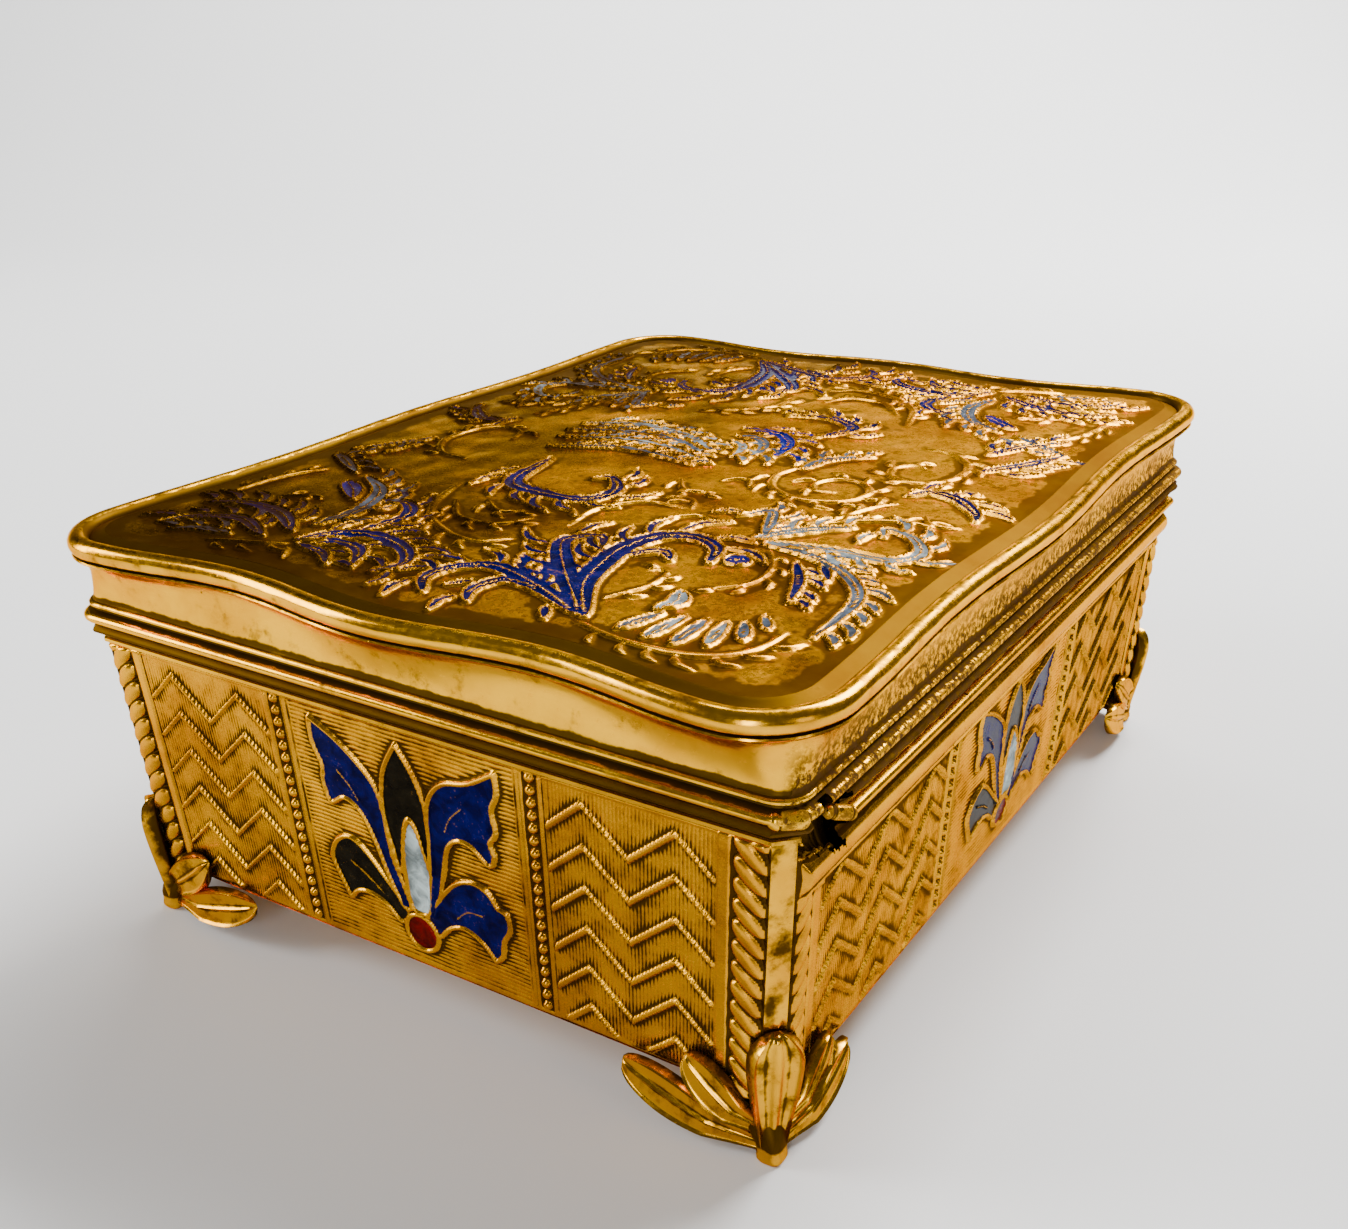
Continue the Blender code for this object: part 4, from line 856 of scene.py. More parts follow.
# The lid's moulding: rings at each profile point joined in turn, then the roll, the dip and the inside.
def buildLidSide():
    profile = list(lidLook["rings"])
    for turn in np.linspace(lidLook["rollFrom"], lidLook["rollTo"], 26) * math.pi / 180:
        profile.append((lidLook["rollAt"] + lidLook["rollRadius"] * math.sin(turn),
                        lidLook["rollOut"] + lidLook["rollRadius"] * math.cos(turn), 1.0))
    profile += lidLook["field"]
    rings, normals = zip(*[lidRing(*level) for level in profile])
    total = len(rings[0])
    hollow = np.zeros((len(profile), total))
    for i, (z, out, share) in enumerate(profile):
        # Darker grooves above the torus; painted shade under the lip and the roll and on the flat underside
        # of the lid's foot; a darker dip where the roll meets the field.
        inGroove = 0.9 * math.exp(-((z - 1.72) / 0.22) ** 2) + 0.6 * math.exp(-((z - 2.84) / 0.12) ** 2)
        shadeUnderRoll = 0.8 * math.exp(-((z - 9.55) / 0.12) ** 2) + 0.5 * math.exp(-((z - 8.64) / 0.1) ** 2)
        dip = 0.26 * ease(1.5, 0.7, out) + 0.06 * ease(3.1, 1.9, out) if z > 10.2 else 0.0
        hollow[i] = inGroove + (shadeUnderRoll if out > 1.5 else 0) + dip + (0.3 if z == 0 else 0)
    x, y = np.array([ring[:, 0] for ring in rings]), np.array([ring[:, 1] for ring in rings])
    height = np.array([ring[:, 2] for ring in rings])
    wobble = 0.05 * softNoise(x + y, height * 4 + x - y, 11.0, 21) * (height > boxShape["lidBottom"] + 2.9)
    nx, ny = np.array([n[:, 0] for n in normals]), np.array([n[:, 1] for n in normals])
    points = np.stack([x - np.abs(wobble) * nx, y - np.abs(wobble) * ny, height], -1)
    quads = quadGrid(len(profile), total, True)
    middle = points.reshape(-1, 3)[quads].mean(1)
    notch = (middle[:, 2] < boxShape["lidBottom"] + lidLook["notchTall"]) & (middle[:,
                                                                                    0] > halfWidth + 1.0) & (
        np.abs(middle[:, 1] + lidLook["notchAt"]) < lidLook["notchHalf"])
    outer = part(points, quads[~notch], [(0, 0, 50.0)], hollow=hollow.ravel())
    inside = [lidRing(*level)[0] for level in lidLook["inside"]]
    under = part(np.concatenate(inside), quadGrid(len(inside), total, True), [(0, 0, 50.0)], hollow=0.05)
    under["quads"] = under["quads"][:, ::-1]
    roof = inside[-1]
    cap = flatCap(roof[:, :2], roof[0, 2], False)
    return buildPiece("lidMoulding", [outer, under, cap], gilt["lidSideGilt"], ["lid"], 40)


buildLidSide()


# A short rod with round ends and thin grooves round it: a circle swept from start to end, its radius
# following a half circle at both ends.
def roundedRod(start, end, radius, grooves):
    start, end = np.array(start), np.array(end)
    run = (end - start) / np.linalg.norm(end - start)
    sideways = np.cross(run, (0, 0, 1.0))
    sideways /= np.linalg.norm(sideways)
    upward = np.cross(sideways, run)
    t = 0.5 - 0.5 * np.cos(np.linspace(0.02, math.pi - 0.02, 48))
    length = np.linalg.norm(end - start)
    inset = np.clip(np.minimum(t, 1 - t) * length / radius, 0, 1)
    reach = radius * np.sqrt(np.clip(1 - (1 - inset) ** 2, 0.0004, 1))
    for at in grooves:
        reach = reach * (1 - 0.16 * np.exp(-((t - at) / 0.035) ** 2))
    angle = np.arange(28) / 28 * math.tau
    circle = np.cos(angle)[:, None] * sideways + np.sin(angle)[:, None] * upward
    points = start + t[:, None, None] * (end - start) + reach[:, None, None] * circle
    dark = sum(0.2 * np.exp(-((t - at) / 0.03) ** 2) for at in grooves)
    return part(points, quadGrid(48, 28, True), [tuple((start + end) / 2)], hollow=np.repeat(dark, 28))


# A crack as a thin dark strip laid on the frieze: a line, widened across its run on the corner's surface.
def crackLine(points, half):
    line = curveThrough(points, 0.08)
    out = np.array([1, -1, 0]) / math.sqrt(2)
    ahead = np.gradient(line, axis=0)
    side = np.cross(out, ahead / np.linalg.norm(ahead, axis=1)[:, None])
    wide = half * (0.5 + np.abs(np.sin(np.arange(len(line)) * 0.9))) * np.sin(np.linspace(0.15, 3.0,
                                                                                          len(line)))
    edges = [line + out * 0.05 + side * wide[:, None] * share for share in (-1, -0.3, 0.3, 1)]
    return part(np.stack(edges, 1), quadGrid(len(line), 4), out, hollow=1.0)


crack = crackLine([(48.45, -61.4, 45.8), (48.2, -61.75, 45.1), (47.98, -62.05, 44.2), (47.8, -62.2, 43.6),
                   (47.3, -62.55, 43.1)], 0.17)
cornerEnd = roundedRod((46.4, -63.75, 42.3), (49.7, -61.3, 42.3), 0.95, (0.3,))
looseRod = roundedRod((49.3, -57.9, 41.3), (50.9, -54.5, 39.95), 0.78, (0.18, 0.26, 0.8))
buildPiece("torusEnds", [cornerEnd, looseRod, crack], gilt["frameGilt"])


# The lid's field

scrollLook = dict(rim=0.25, rise=0.42, floor=0.10, vein=0.12, scale=(0.955, 0.952), fineGrid=0.27,
                  wideGrid=0.37,
                  slim=0.88, leafletFrom=8.0, leafletStep=3.1, leafletHalf=0.60)
# Each scroll: tint, half of its widest width, and its spine from root to tip.
cornerScrolls = [
    ("gold", 0.85, [(21, -58.5), (27, -60.3), (33, -60.6), (38, -59.2), (41, -55), (41.5, -50)]),
    ("grey", 0.95, [(26, -58), (28, -52.5)]), ("pale", 0.95, [(29.6, -58.6), (30.6, -52)]),
    ("grey", 0.95, [(33, -58.6), (33, -51.5)]), ("pale", 0.9, [(36.2, -57.2), (35, -51)]),
    ("grey", 0.85, [(38.7, -54.3), (36.6, -50)]), ("grey", 0.7, [(39.6, -50.6), (37.6, -47.6)]),
    ("navy", 1.9,
     [(21, -57), (16, -50), (14, -43), (13.5, -38), (15, -33), (19, -31), (23, -33), (24.5, -37)]),
    ("navy", 1.1, [(15, -40), (18, -37), (20.5, -39)]), ("cobalt", 1.8, [(26.4, -35.4), (27.6, -34.6)]),
    ("gold", 0.5, [(28.5, -30), (31.5, -35), (32, -40), (29, -43.5), (27.5, -43)]),
    ("grey", 1.0, [(27, -28.5), (34, -29.5), (40, -33), (44, -39), (44.5, -50)]),
    ("navy", 0.8, [(33, -32), (36, -37), (38, -43)]), ("navy", 0.7, [(36, -31), (39, -35.5)]),
    ("grey", 1.0, [(25.5, -26), (24, -21.5), (22, -18), (19.5, -21.5)]),
    ("pale", 1.3, [(25, -27.5), (29, -22), (33.5, -18)]),
    ("pale", 1.2, [(27, -28), (36, -26.5), (42, -26), (44, -22), (41, -17.5), (37, -16.5), (38, -19)]),
    ("gold", 0.5, [(27, -27), (30, -17), (32, -10), (34, -6.5)]),
    ("navy", 1.3, [(34, -3), (36, -0.5), (40, -1), (44, -5), (45, -7.5)]),
    ("gold", 0.5, [(39, -9), (41, -12), (44.5, -11)]),
    ("gold", 0.6, [(30, -18), (36, -13.5), (41, -12.5), (42.5, -15)]),
    ("navy", 1.5, [(20, -57), (12, -53), (4, -50.5), (0, -53), (-1, -57), (1.5, -60.3)]),
    ("navy", 1.2, [(14, -54), (8, -53), (6, -57), (7.6, -60.2)]),
    ("navy", 1.7, [(20, -56.5), (12, -48), (7, -42), (6, -39), (9, -36.5), (11, -39)]),
    ("navy", 0.7, [(16, -57), (18, -60)]), ("gold", 0.5, [(20, -52), (22.5, -47), (22, -42), (19.5, -42.5)]),
]
cornerLeaves = [
    ("gold", 0.85, [(-33, -60.5), (-27, -58.5), (-23, -56.5)]),
    ("navy", 1.5, [(-23, -55), (-20, -51), (-15, -49.5), (-9, -51.5), (-6, -55), (-7.5, -58.5)]),
    ("navy", 1.2, [(-20, -53), (-14, -54), (-11, -58)]),
    ("navy", 0.9, [(-22, -56), (-17, -57), (-14, -59.5)]),
    ("gold", 0.6, [(-22, -57.5), (-20, -60.5)]),
    ("grey", 1.4, [(-25, -50), (-24, -43), (-27, -36), (-33, -32)]),
    ("cobalt", 1.5, [(-34, -35), (-31, -37), (-28, -40)]),
    ("navy", 1.3, [(-18, -48), (-17, -42), (-20, -38.5), (-24, -38.5)]),
    ("navy", 1.4, [(-26, -53), (-32, -49), (-39, -48), (-44.5, -50)]),
    ("navy", 1.2, [(-28, -56), (-35, -53), (-41, -55), (-43.5, -58.5)]),
    ("grey", 1.0, [(-32, -57.5), (-37, -58), (-40, -60)]),
    ("grey", 1.0, [(-45.5, -25), (-42, -27), (-36, -31)]),
    ("gold", 0.6, [(-45, -45), (-44, -37), (-41, -31)]), ("gold", 0.5, [(-38, -44), (-34, -42), (-33, -46)]),
]
middleScrolls = [
    ("pale", 1.3, [(26.4, -46.5), (27.6, -49), (26.6, -51.5)]),
    ("gold", 0.8, [(-20, -28), (-17, -37), (-11, -43), (-4, -45), (0, -42)]),
    ("gold", 0.6, [(-16, -33.5), (-11, -39), (-5, -39), (-2.5, -34.5)]),
    ("gold", 0.6, [(-12, -32), (-8, -35), (-5, -33)]),
    ("gold", 0.6, [(3, -35), (2.6, -28.5), (6, -23), (12, -22)]),
    ("pale", 1.1, [(-23, 5), (-15, 8), (-5, 6), (2, 1)]),
    ("grey", 1.0, [(-23, 1), (-14, 3.8), (-5, 3.2), (2, -1)]),
    ("pale", 0.9, [(-22, -3), (-13, -0.3), (-5, -0.3), (2, -3)]),
    ("grey", 0.9, [(-20, -8), (-12, -4.2), (-5, -4.2), (3, -6)]),
    ("cobalt", 1.4, [(0, 14), (6, 13.5), (10, 9), (11, 3)]),
    ("grey", 1.1, [(1, 10.3), (5, 9.6), (7.6, 6), (8.2, 1)]),
    ("pale", 0.9, [(2, 6.8), (4.4, 5.6), (5.6, 3), (5.8, 0)]),
    ("navy", 1.6, [(-16, -13), (-14, -24), (-8, -26.5), (-1, -26), (0.5, -21), (-3, -16.5), (-5, -18)]),
    ("gold", 0.75,
     [(17, 2), (15.4, -4), (17.6, -9.4), (23, -11.8), (28, -9.5), (29.4, -5), (27, -1.6), (23.4, -1.4),
                    (21.4, -4.4), (22.8, -7.2), (25.4, -6.6)]),
    ("gold", 0.7,
     [(27, 18.5), (32, 17.5), (36, 12.5), (36, 6), (32.6, 2.4), (28.6, 3.6), (27.4, 7.4), (29.4, 10),
                   (32, 8.6)]),
    ("grey", 0.9, [(17, 0), (18.2, 6), (23, 10)]), ("gold", 0.5, [(5, -12), (8, -16), (12, -15)]),
    ("gold", 0.5, [(7, -20), (11, -19), (13, -22)]), ("gold", 0.5, [(12, -27), (15, -24), (18, -25)]),
    ("gold", 0.45, [(10, -10), (13, -8), (15, -11)]), ("navy", 1.3, [(38, 12), (42, 18), (45, 25)]),
    ("navy", 1.1, [(36, 20), (39, 27), (43.5, 32)]), ("grey", 1.0, [(-38, -12), (-42, -18), (-45, -22)]),
    ("gold", 0.7,
     [(-27, -18.5), (-32, -17.5), (-36, -12.5), (-36, -6), (-32.6, -2.4), (-28.6, -3.6), (-27.4, -7.4)]),
    ("gold", 0.8, [(20, 28), (17, 37), (11, 43), (4, 45), (0, 42)]),
    ("gold", 0.6, [(16, 33.5), (11, 39), (5, 39), (2.5, 34.5)]),
    ("gold", 0.6, [(-12, 20), (-6, 24), (-2.6, 28.5), (-3, 35)]),
    ("navy", 1.3, [(12, 16), (14, 22), (8, 26), (2, 24)]),
]


# How deep each place lies in a leaf that swells from a thin root and narrows to a round tip, and how far
# it is from the leaf's spine: along each short piece of spine, the half width there less the distance to
# it.
def scrollDepth(spine, reach, x, y):
    line = curveThrough(spine, 0.7)
    run = np.concatenate([[0], np.cumsum(np.hypot(*np.diff(line, axis=0).T))])
    share = run / run[-1]
    half = reach * (0.30 + 0.70 * np.sin(math.pi * share ** 0.8) ** 0.8)
    depth = np.full(x.shape, -9.0)
    away = np.full(x.shape, 9.0)
    for (ax, ay), (bx, by), startHalf, endHalf in zip(line[:-1], line[1:], half[:-1], half[1:]):
        dx, dy = bx - ax, by - ay
        t = np.clip(((x - ax) * dx + (y - ay) * dy) / (dx * dx + dy * dy), 0, 1)
        distance = np.hypot(x - ax - t * dx, y - ay - t * dy)
        depth = np.maximum(depth, startHalf + (endHalf - startHalf) * t - distance)
        away = np.minimum(away, distance)
    return depth, away


# Small curved leaves on the outer side of a long scroll: each starts at the spine, sets off forwards and
# outwards, and bends back towards the scroll's run.
def leaflets(name, reach, spine):
    line = curveThrough(spine, 0.7)
    run = np.concatenate([[0], np.cumsum(np.hypot(*np.diff(line, axis=0).T))])
    if run[-1] < scrollLook["leafletFrom"]:
        return []
    chord = line[-1] - line[0]
    bend = np.cross(np.append(chord, 0), np.append(line[len(line) // 2] - line[0], 0))[2]
    side = 1.0 if bend > 0 else -1.0
    made = []
    for k, at in enumerate(np.arange(0.14, 0.95, scrollLook["leafletStep"] / run[-1])):
        i = min(int(np.searchsorted(run, at * run[-1])), len(line) - 2)
        ahead = line[i + 1] - line[i]
        ahead = ahead / np.hypot(*ahead)
        out = side * np.array([-ahead[1], ahead[0]])
        size = 0.5 + reach * (1.6 + 0.4 * math.sin(k * 2.1 + run[-1]))
        root = line[i] + out * reach * 0.75
        made.append((name, scrollLook["leafletHalf"], [root, root + out * size * 0.8 + ahead * size * 0.5,
                                          root + out * size * 1.15 + ahead * size * 1.5]))
    return made


# Height, distance into the enamel, and tint of the lid's field on a grid of lines.
def fieldRelief(xLines, yLines):
    x, y = np.meshgrid(xLines, yLines)
    cell = np.full(x.shape, -9.0)
    rib = np.full(x.shape, 9.0)
    gold = np.zeros(x.shape)
    tint = np.zeros(x.shape + (3,))
    turned = [(name, reach, [(-a, -b) for a, b in spine]) for name, reach,
              spine in cornerScrolls + cornerLeaves]
    drawn = [(name, reach * scrollLook["slim"], np.array(spine) * scrollLook["scale"])
             for name, reach, spine in cornerScrolls + cornerLeaves + turned + middleScrolls]
    for name, reach, spine in [leaflet for scroll in drawn for leaflet in leaflets(*scroll)] + drawn:
        spine = np.array(spine)
        low, high = spine.min(0) - reach - 2.5, spine.max(0) + reach + 2.5
        i0, i1 = np.searchsorted(yLines, (low[1], high[1]))
        j0, j1 = np.searchsorted(xLines, (low[0], high[0]))
        if i1 <= i0 or j1 <= j0:
            continue
        box = (slice(i0, i1), slice(j0, j1))
        depth, away = scrollDepth(spine, reach, x[box], y[box])
        if name == "gold":
            gold[box] = np.maximum(gold[box], np.sqrt(np.clip(depth / reach, 0, 1)))
            continue
        front = depth > cell[box]
        tint[box][front] = lidTint[name]
        cell[box] = np.maximum(cell[box], depth)
        rib[box] = np.where(front, away, rib[box])
    rim = scrollLook["rim"]
    edge = ease(rim, rim * 0.35, np.abs(cell))
    vein = ease(scrollLook["vein"] * 1.6, scrollLook["vein"] * 0.6, rib) * ease(0.55, 0.8, cell)
    height = scrollLook["rise"] * np.maximum(np.maximum(edge, vein * 0.8), gold * (cell < 0))
    height = np.maximum(height, scrollLook["floor"] * ease(0.0, rim, cell))
    covered = np.where(gold > 0, -9.0, cell) * (cell < 0) + cell * (cell >= 0)
    covered = np.where(vein > 0.3, -0.1, covered)
    height = height + 0.05 * softNoise(x, y, 7.0, 41) * (cell < 0)
    return height, covered - rim * 0.6, tint


# Part of the lid's top. Grid points outside the field's border are moved onto it, so the edge is smooth.
def buildField(name, yStart, yEnd, step):
    ring = lidRing(lidLook["top"], lidLook["border"], 1.0)[0][:, :2]
    reach = np.abs(ring[:, 0]).max() + step
    xLines, yLines = lines(-reach, reach, step), lines(yStart, yEnd, step)
    x, y = np.meshgrid(xLines, yLines)
    height, cell, tint = fieldRelief(xLines, yLines)
    edge = np.full(x.shape, 9.0)
    near = (np.abs(x) > halfWidth - 8) | (np.abs(y) > halfDepth - 8)
    edge[near] = distanceTo(ring, x[near], y[near], True)
    rows, columns = np.nonzero((edge < 0.02) & (edge > -2.2 * step))
    border = np.concatenate([ring + (np.roll(ring, -1, 0) - ring) * share for share in (0, 0.25, 0.5, 0.75)])
    nearest = np.hypot(border[:, 0] - x[rows, columns][:, None],
                       border[:, 1] - y[rows, columns][:, None]).argmin(1)
    x[rows, columns], y[rows, columns] = border[nearest].T
    height = height * ease(0.0, 0.9, edge)
    hollow = hollowness(height, 3) + 0.7 * hollowness(height, 7)
    hollow = hollow + 0.24 * ease(3.6, 0.4, edge) + 0.02
    z = boxShape["lidBottom"] + lidLook["top"] - 0.02 + crownAt(x, y) + height
    quads = quadGrid(len(yLines), len(xLines))
    inside = (edge > 0.02).ravel()[quads].any(1)
    item = part(np.stack([x, y, z], -1), quads[inside], (0, 0, 1), hollow=hollow.ravel(), cell=cell.ravel(),
                tint=tint.reshape(-1, 3))
    return buildPiece(name, [item], gilt["lidTopGilt"], ["lid"])


buildField("lidFieldFront", -halfDepth - 1.0, 0.0, scrollLook["fineGrid"])
buildField("lidFieldBack", 0.0, halfDepth + 1.0, scrollLook["wideGrid"])


# The feet

footLook = dict(
    knob=4.4, gap=0.3, standoff=0.8, thick=1.3, cornerThick=2.0, along=44,
    cornerTall=16.4, cornerWide=5.9, frontReach=18.2, sideReach=14.6, longHalf=2.75, shortHalf=2.6,
    shortLeaf=((0.2, 3.2), (5.2, 5.9), (10.0, 10.2)),
    core=[(0.0, 0.2), (0.0, 2.3), (0.12, 2.7), (0.4, 2.95), (0.8, 2.9), (1.1, 2.75), (1.5, 2.8), (2.2, 3.1),
          (3.2, 3.9), (4.4, 4.9), (5.6, 5.7), (6.9, 6.3), (6.9, 0.3)],
)


# A spoon-shaped leaf: its section has a sharp ridge in the middle, a hollow beside it and a thin raised
# rim, and closes with a flat back. Sections follow the spine, and the ends close to a point.
def leafSurface(spine, half, across, face, thick, ridgeWide=0.09):
    s = np.concatenate([np.linspace(-1, 1, 33), [0.97, 0.4, -0.4, -0.97]])
    side = np.abs(s)
    rim = np.exp(-((side - 0.88) / 0.08) ** 2)
    ridge = np.exp(-(side / ridgeWide) ** 2)
    profile = (0.52 + 0.18 * side + 0.26 * rim + 0.28 * ridge) * ease(1.0, 0.92, side)
    profile[33:] = -0.05
    tall = thick * (0.55 + 0.45 * half / half.max())
    tall = tall * np.sqrt(np.clip(1 - (np.linspace(-1, 1, len(half)) ** 16), 0, 1))
    points = (spine[:, None] + across * half[:, None, None] * s[None, :, None]
              + face * tall[:, None, None] * profile[None, :, None])
    dark = 0.14 * np.exp(-((side - 0.99) / 0.04) ** 2)
    dark = dark + 0.10 * np.exp(-((side - ridgeWide * 1.9) / 0.06) ** 2)
    dark = np.where(np.arange(len(s)) < 33, dark + 0.03 * (1 - ridge - rim), 0.3)
    hollow = np.broadcast_to(dark, (len(spine), len(s))).copy()
    return part(points, quadGrid(len(spine), len(s), True), [tuple(spine.mean(0) + face * tall.mean() * 0.3)],
                hollow=hollow.ravel())


# Half width along a leaf, 1 at its widest: it grows from its root and ends in a round tip.
def roundedLeaf(t, root, swell):
    grow = root + (1 - root) * ease(0.0, swell, t)
    return np.maximum(grow * np.sqrt(np.clip(1 - (np.clip(t - swell, 0, 1) / (1.002 - swell)) ** 2, 0, 1)),
                      0.02)


# A curve that leaves start towards bend and arrives at end from it.
def alongCurve(start, bend, end, t):
    start, bend, end = (np.array(place) for place in (start, bend, end))
    return (1 - t) ** 2 * start + 2 * t * (1 - t) * bend + t ** 2 * end


# A leaf that leaves the knob and lies before a wall, sagging and then rising to its tip.
def sideLeaf(corner, along, face, curve, reachHalf):
    t = np.linspace(0, 1, footLook["along"])[:, None]
    place = alongCurve(*curve, t)
    out = footLook["standoff"] - footLook["knob"] * 0.4 * np.clip(1 - 2.5 * t, 0, 1)
    spine = corner + along * place[:, :1] + face * out + np.array([0, 0, 1]) * place[:, 1:]
    half = reachHalf * roundedLeaf(t[:, 0], 0.34, 0.66)
    run = along * (curve[2][0] - curve[0][0]) + np.array([0, 0, 1]) * (curve[2][1] - curve[0][1])
    across = np.cross(face, run / np.linalg.norm(run))
    return leafSurface(spine, half, across, face, footLook["thick"])


# The upright leaf before the corner's flat, leaning with the wall.
def cornerLeaf(corner, outward):
    t = np.concatenate([np.linspace(0.02, 0.8, 30), np.linspace(0.82, 1.0, 18)])
    half = footLook["cornerWide"] / 2 * roundedLeaf(t, 0.50, 0.80)
    z = footLook["cornerTall"] * t
    lean = boxShape["lean"] / (boxShape["wallTop"] - boxShape["wallBottom"]) * math.sqrt(2)
    out = lean * (z - boxShape["wallBottom"]) - boxShape["cornerFlat"] / math.sqrt(2) + footLook["gap"]
    spine = corner + outward * out[:, None] + np.array([0, 0, 1]) * z[:, None]
    return leafSurface(spine, half, np.cross([0, 0, 1], outward), outward, footLook["cornerThick"], 0.22)


# The knob and the block above it, as rounded square sections from the flat tip up to the wall.
def footCore(corner, inward):
    rings = [(z, 0.5 + 2.7 * ease(1.6, 6.9, z), wide) for z, wide in footLook["core"]]
    angle = np.arange(40) / 40 * math.tau
    square = (np.abs(np.cos(angle)) ** 3.2 + np.abs(np.sin(angle)) ** 3.2) ** (-1 / 3.2)
    points = [np.column_stack([corner[0] + inward[0] * drawn + wide / 2 * square * np.cos(angle),
                               corner[1] + inward[1] * drawn + wide / 2 * square * np.sin(angle),
                               np.full(40, z)]) for z, drawn, wide in rings]
    hollow = np.repeat([0.02 + 0.2 * (z > 2.0) for z, _, _ in rings], 40)
    return part(np.concatenate(points), quadGrid(len(rings), 40, True),
                [(corner[0] + inward[0] * 1.5, corner[1] + inward[1] * 1.5, 3.6)], hollow=hollow)


# A foot: the knob, an upright leaf before the corner, and a long and a short leaf along each wall.
def buildFoot(name, node, mirrorX, mirrorY):
    corner = np.array([mirrorX * (halfWidth - boxShape["lean"]), mirrorY * (halfDepth - boxShape["lean"]),
                       0.0])
    toX, toY = np.array([-mirrorX, 0, 0.0]), np.array([0, -mirrorY, 0.0])
    parts = [footCore(corner, toX + toY), cornerLeaf(corner, -(toX + toY) / math.sqrt(2))]
    for along, face, reach in ((toX, -toY, footLook["frontReach"]), (toY, -toX, footLook["sideReach"])):
        longLeaf = ((0.2, 1.5), (reach * 0.5, 3.1), (reach - 0.2, 6.3))
        parts.append(sideLeaf(corner, along, face, longLeaf, footLook["longHalf"]))
        parts.append(sideLeaf(corner, along, face, footLook["shortLeaf"], footLook["shortHalf"]))
    return buildPiece(name, parts, gilt["footGilt"], [node], 50)


for name, node, mirrorX, mirrorY in (
        ("footFrontRight", "foot_front_right", 1, -1), ("footFrontLeft", "foot_front_left", -1, -1),
        ("footBackRight", "foot_back_right", 1, 1), ("footBackLeft", "foot_back_left", -1, 1)):
    buildFoot(name, node, mirrorX, mirrorY)


# The studio

cameraLook = dict(yaw=-0.5697, pitch=0.3901, roll=-0.0142, lens=39.805, place=(0.10258, -0.16622, 0.11042))
lookAt = (math.sin(cameraLook["yaw"]), math.cos(cameraLook["yaw"]))


# A camera whose forward is (sin yaw cos pitch, cos yaw cos pitch, -sin pitch), rolled about it.
def buildCamera():
    yaw, pitch, roll = cameraLook["yaw"], cameraLook["pitch"], cameraLook["roll"]
    forward = np.array([math.sin(yaw) * math.cos(pitch), math.cos(yaw) * math.cos(pitch), -math.sin(pitch)])
    right = np.array([math.cos(yaw), -math.sin(yaw), 0.0])
    up = np.cross(right, forward)
    across = math.cos(roll) * right + math.sin(roll) * up
    upward = -math.sin(roll) * right + math.cos(roll) * up
    data = bpy.data.cameras.new("photoCamera")
    data.lens = cameraLook["lens"]
    data.sensor_width = 36.0
    data.clip_start = 0.01
    camera = bpy.data.objects.new("photoCamera", data)
    bpy.context.scene.collection.objects.link(camera)
    turn = np.column_stack([across, upward, -forward])
    matrix = Matrix([list(row) + [at] for row,
                     at in zip(turn.tolist(), cameraLook["place"])] + [[0, 0, 0, 1]])
    camera.matrix_world = matrix
    bpy.context.scene.camera = camera


# A rectangular light at place that looks at aim.
def softBox(name, place, aim, size, power):
    data = bpy.data.lights.new(name, "AREA")
    data.shape = "RECTANGLE"
    data.size, data.size_y = size
    data.energy = power
    light = bpy.data.objects.new(name, data)
    bpy.context.scene.collection.objects.link(light)
    light.location = place
    light.rotation_euler = (Vector(aim) - Vector(place)).to_track_quat("-Z", "Y").to_euler()


floorLook = dict(
    front=-0.9, bend=0.55, half=1.4, top=1.4, radius=0.45, paleTo=0.10, darkFrom=0.34, roughness=0.75,
    pale=(0.84, 0.84, 0.83, 1), paler=(0.88, 0.88, 0.87, 1), dark=(0.06, 0.06, 0.065, 1),
)


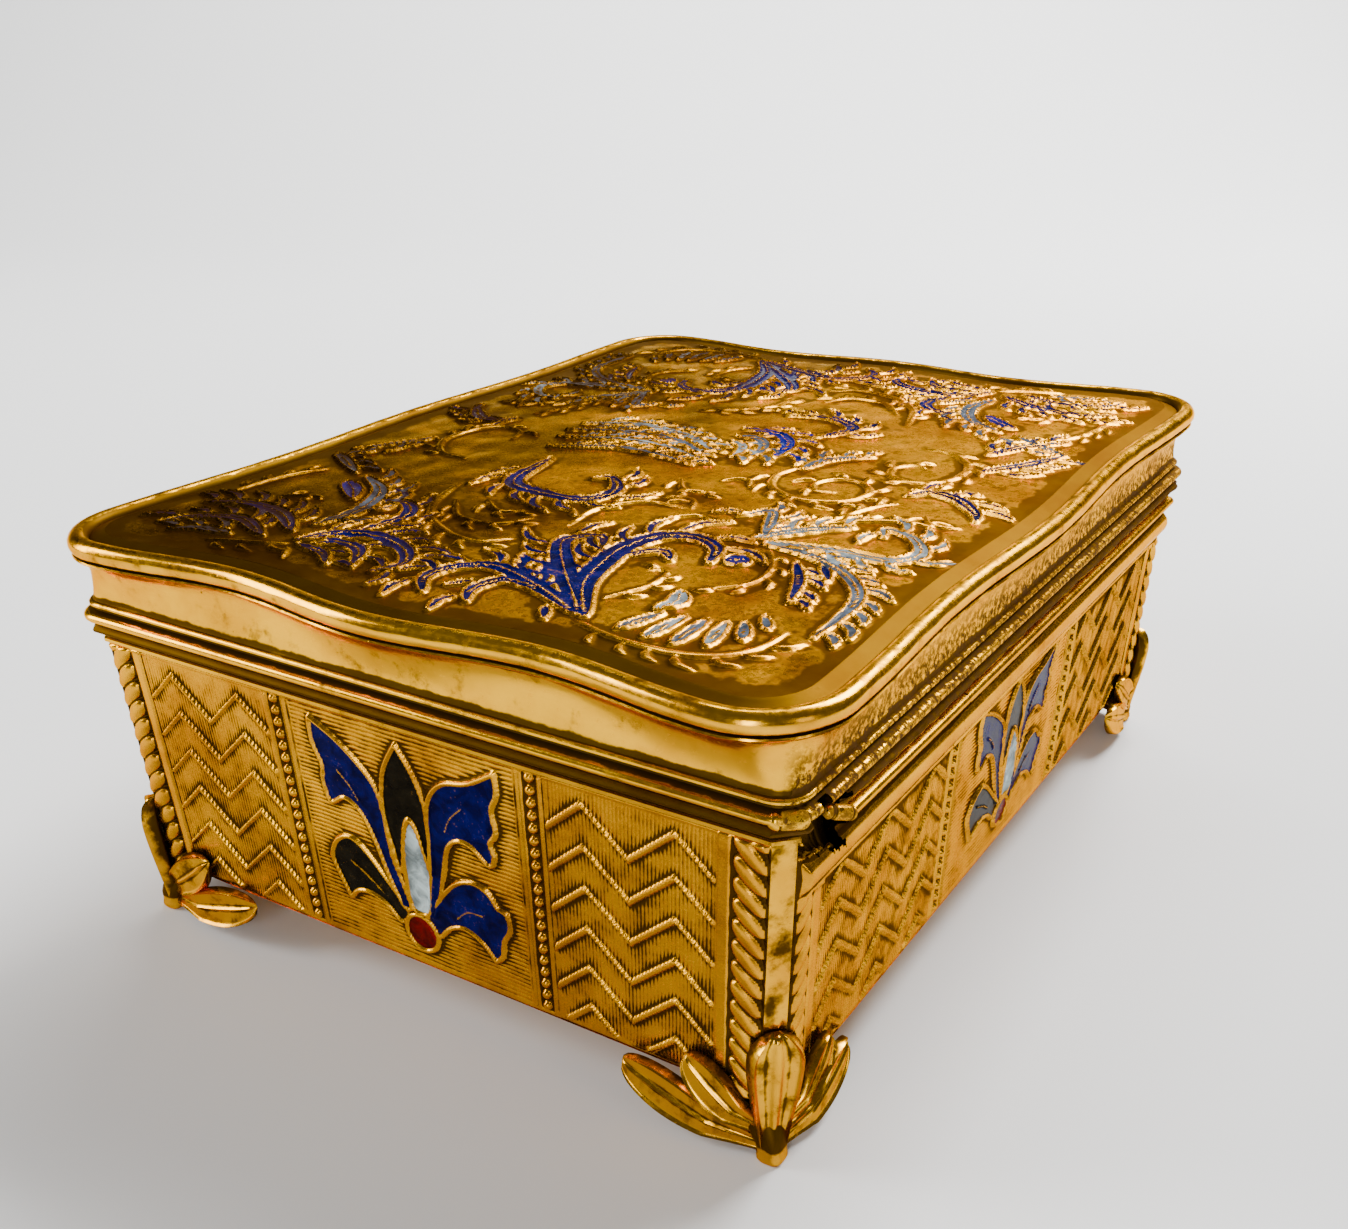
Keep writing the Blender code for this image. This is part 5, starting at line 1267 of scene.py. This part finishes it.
# A sheet that lies flat under the box and curves up behind it.
def buildFloor():
    away = np.array(lookAt)
    across = np.array([away[1], -away[0]])
    bend, radius = floorLook["bend"], floorLook["radius"]
    angle = np.linspace(0.08, 1.5, 18)
    s = np.concatenate([np.linspace(floorLook["front"], bend, 30), bend + radius * np.sin(angle),
                        np.full(8, 1.0)])
    z = np.concatenate([np.zeros(30), radius - radius * np.cos(angle),
                        np.linspace(0.46, floorLook["top"], 8)])
    t = np.linspace(-floorLook["half"], floorLook["half"], 30)
    grid = s[:, None, None] * away + t[None, :, None] * across
    points = np.concatenate([grid, np.broadcast_to(z[:, None, None], grid.shape[:2] + (1,))], -1)
    mesh = bpy.data.meshes.new("studioFloor")
    quads = quadGrid(len(s), len(t))[:, ::-1]
    mesh.from_pydata(points.reshape(-1, 3).tolist(), [], quads.tolist())
    mesh.shade_smooth()
    material = bpy.data.materials.new("paleFloor")
    material.use_nodes = True
    w = Wiring(material.node_tree)
    shader = material.node_tree.nodes["Principled BSDF"]
    place = w.objectPlace()
    split = material.node_tree.nodes.new("ShaderNodeSeparateXYZ")
    w.put(split.inputs[0], place)
    pale = w.mix(w.noise(place, 3.0), floorLook["pale"], floorLook["paler"])
    rise = w.ramp(split.outputs["Z"], floorLook["paleTo"], floorLook["darkFrom"])
    w.put(shader.inputs["Base Color"], w.mix(rise, pale, floorLook["dark"]))
    w.put(shader.inputs["Roughness"], floorLook["roughness"])
    mesh.materials.append(material)
    floor = bpy.data.objects.new("studioFloor", mesh)
    bpy.context.scene.collection.objects.link(floor)


buildCamera()
buildFloor()
studioLights = [  # name, place, aim, size and power
    ("topBox", (0.16, 0.66, 0.72), (0, 0, 0.03), (0.50, 0.45), 21.0),
    ("leftBox", (-0.80, -0.45, 0.40), (0, 0, 0.03), (0.35, 0.6), 8.0),
    ("frontBox", (0.30, -0.85, 0.30), (0, 0, 0.03), (0.20, 0.5), 3.4),
    ("rightBox", (0.90, -0.25, 0.30), (0, 0, 0.03), (0.18, 0.4), 0.9),
    ("backdropBox", (-0.20, 0.45, 0.75), (-0.50, 0.85, 0.0), (0.5, 0.3), 8.0),
]
for light in studioLights:
    softBox(*light)
worldLook = dict(colour=(0.75, 0.78, 0.82, 1), strength=0.16)
world = bpy.data.worlds.new("studioWorld")
bpy.context.scene.world = world
world.use_nodes = True
background = world.node_tree.nodes["Background"]
background.inputs["Color"].default_value = worldLook["colour"]
background.inputs["Strength"].default_value = worldLook["strength"]
print("studio ready")
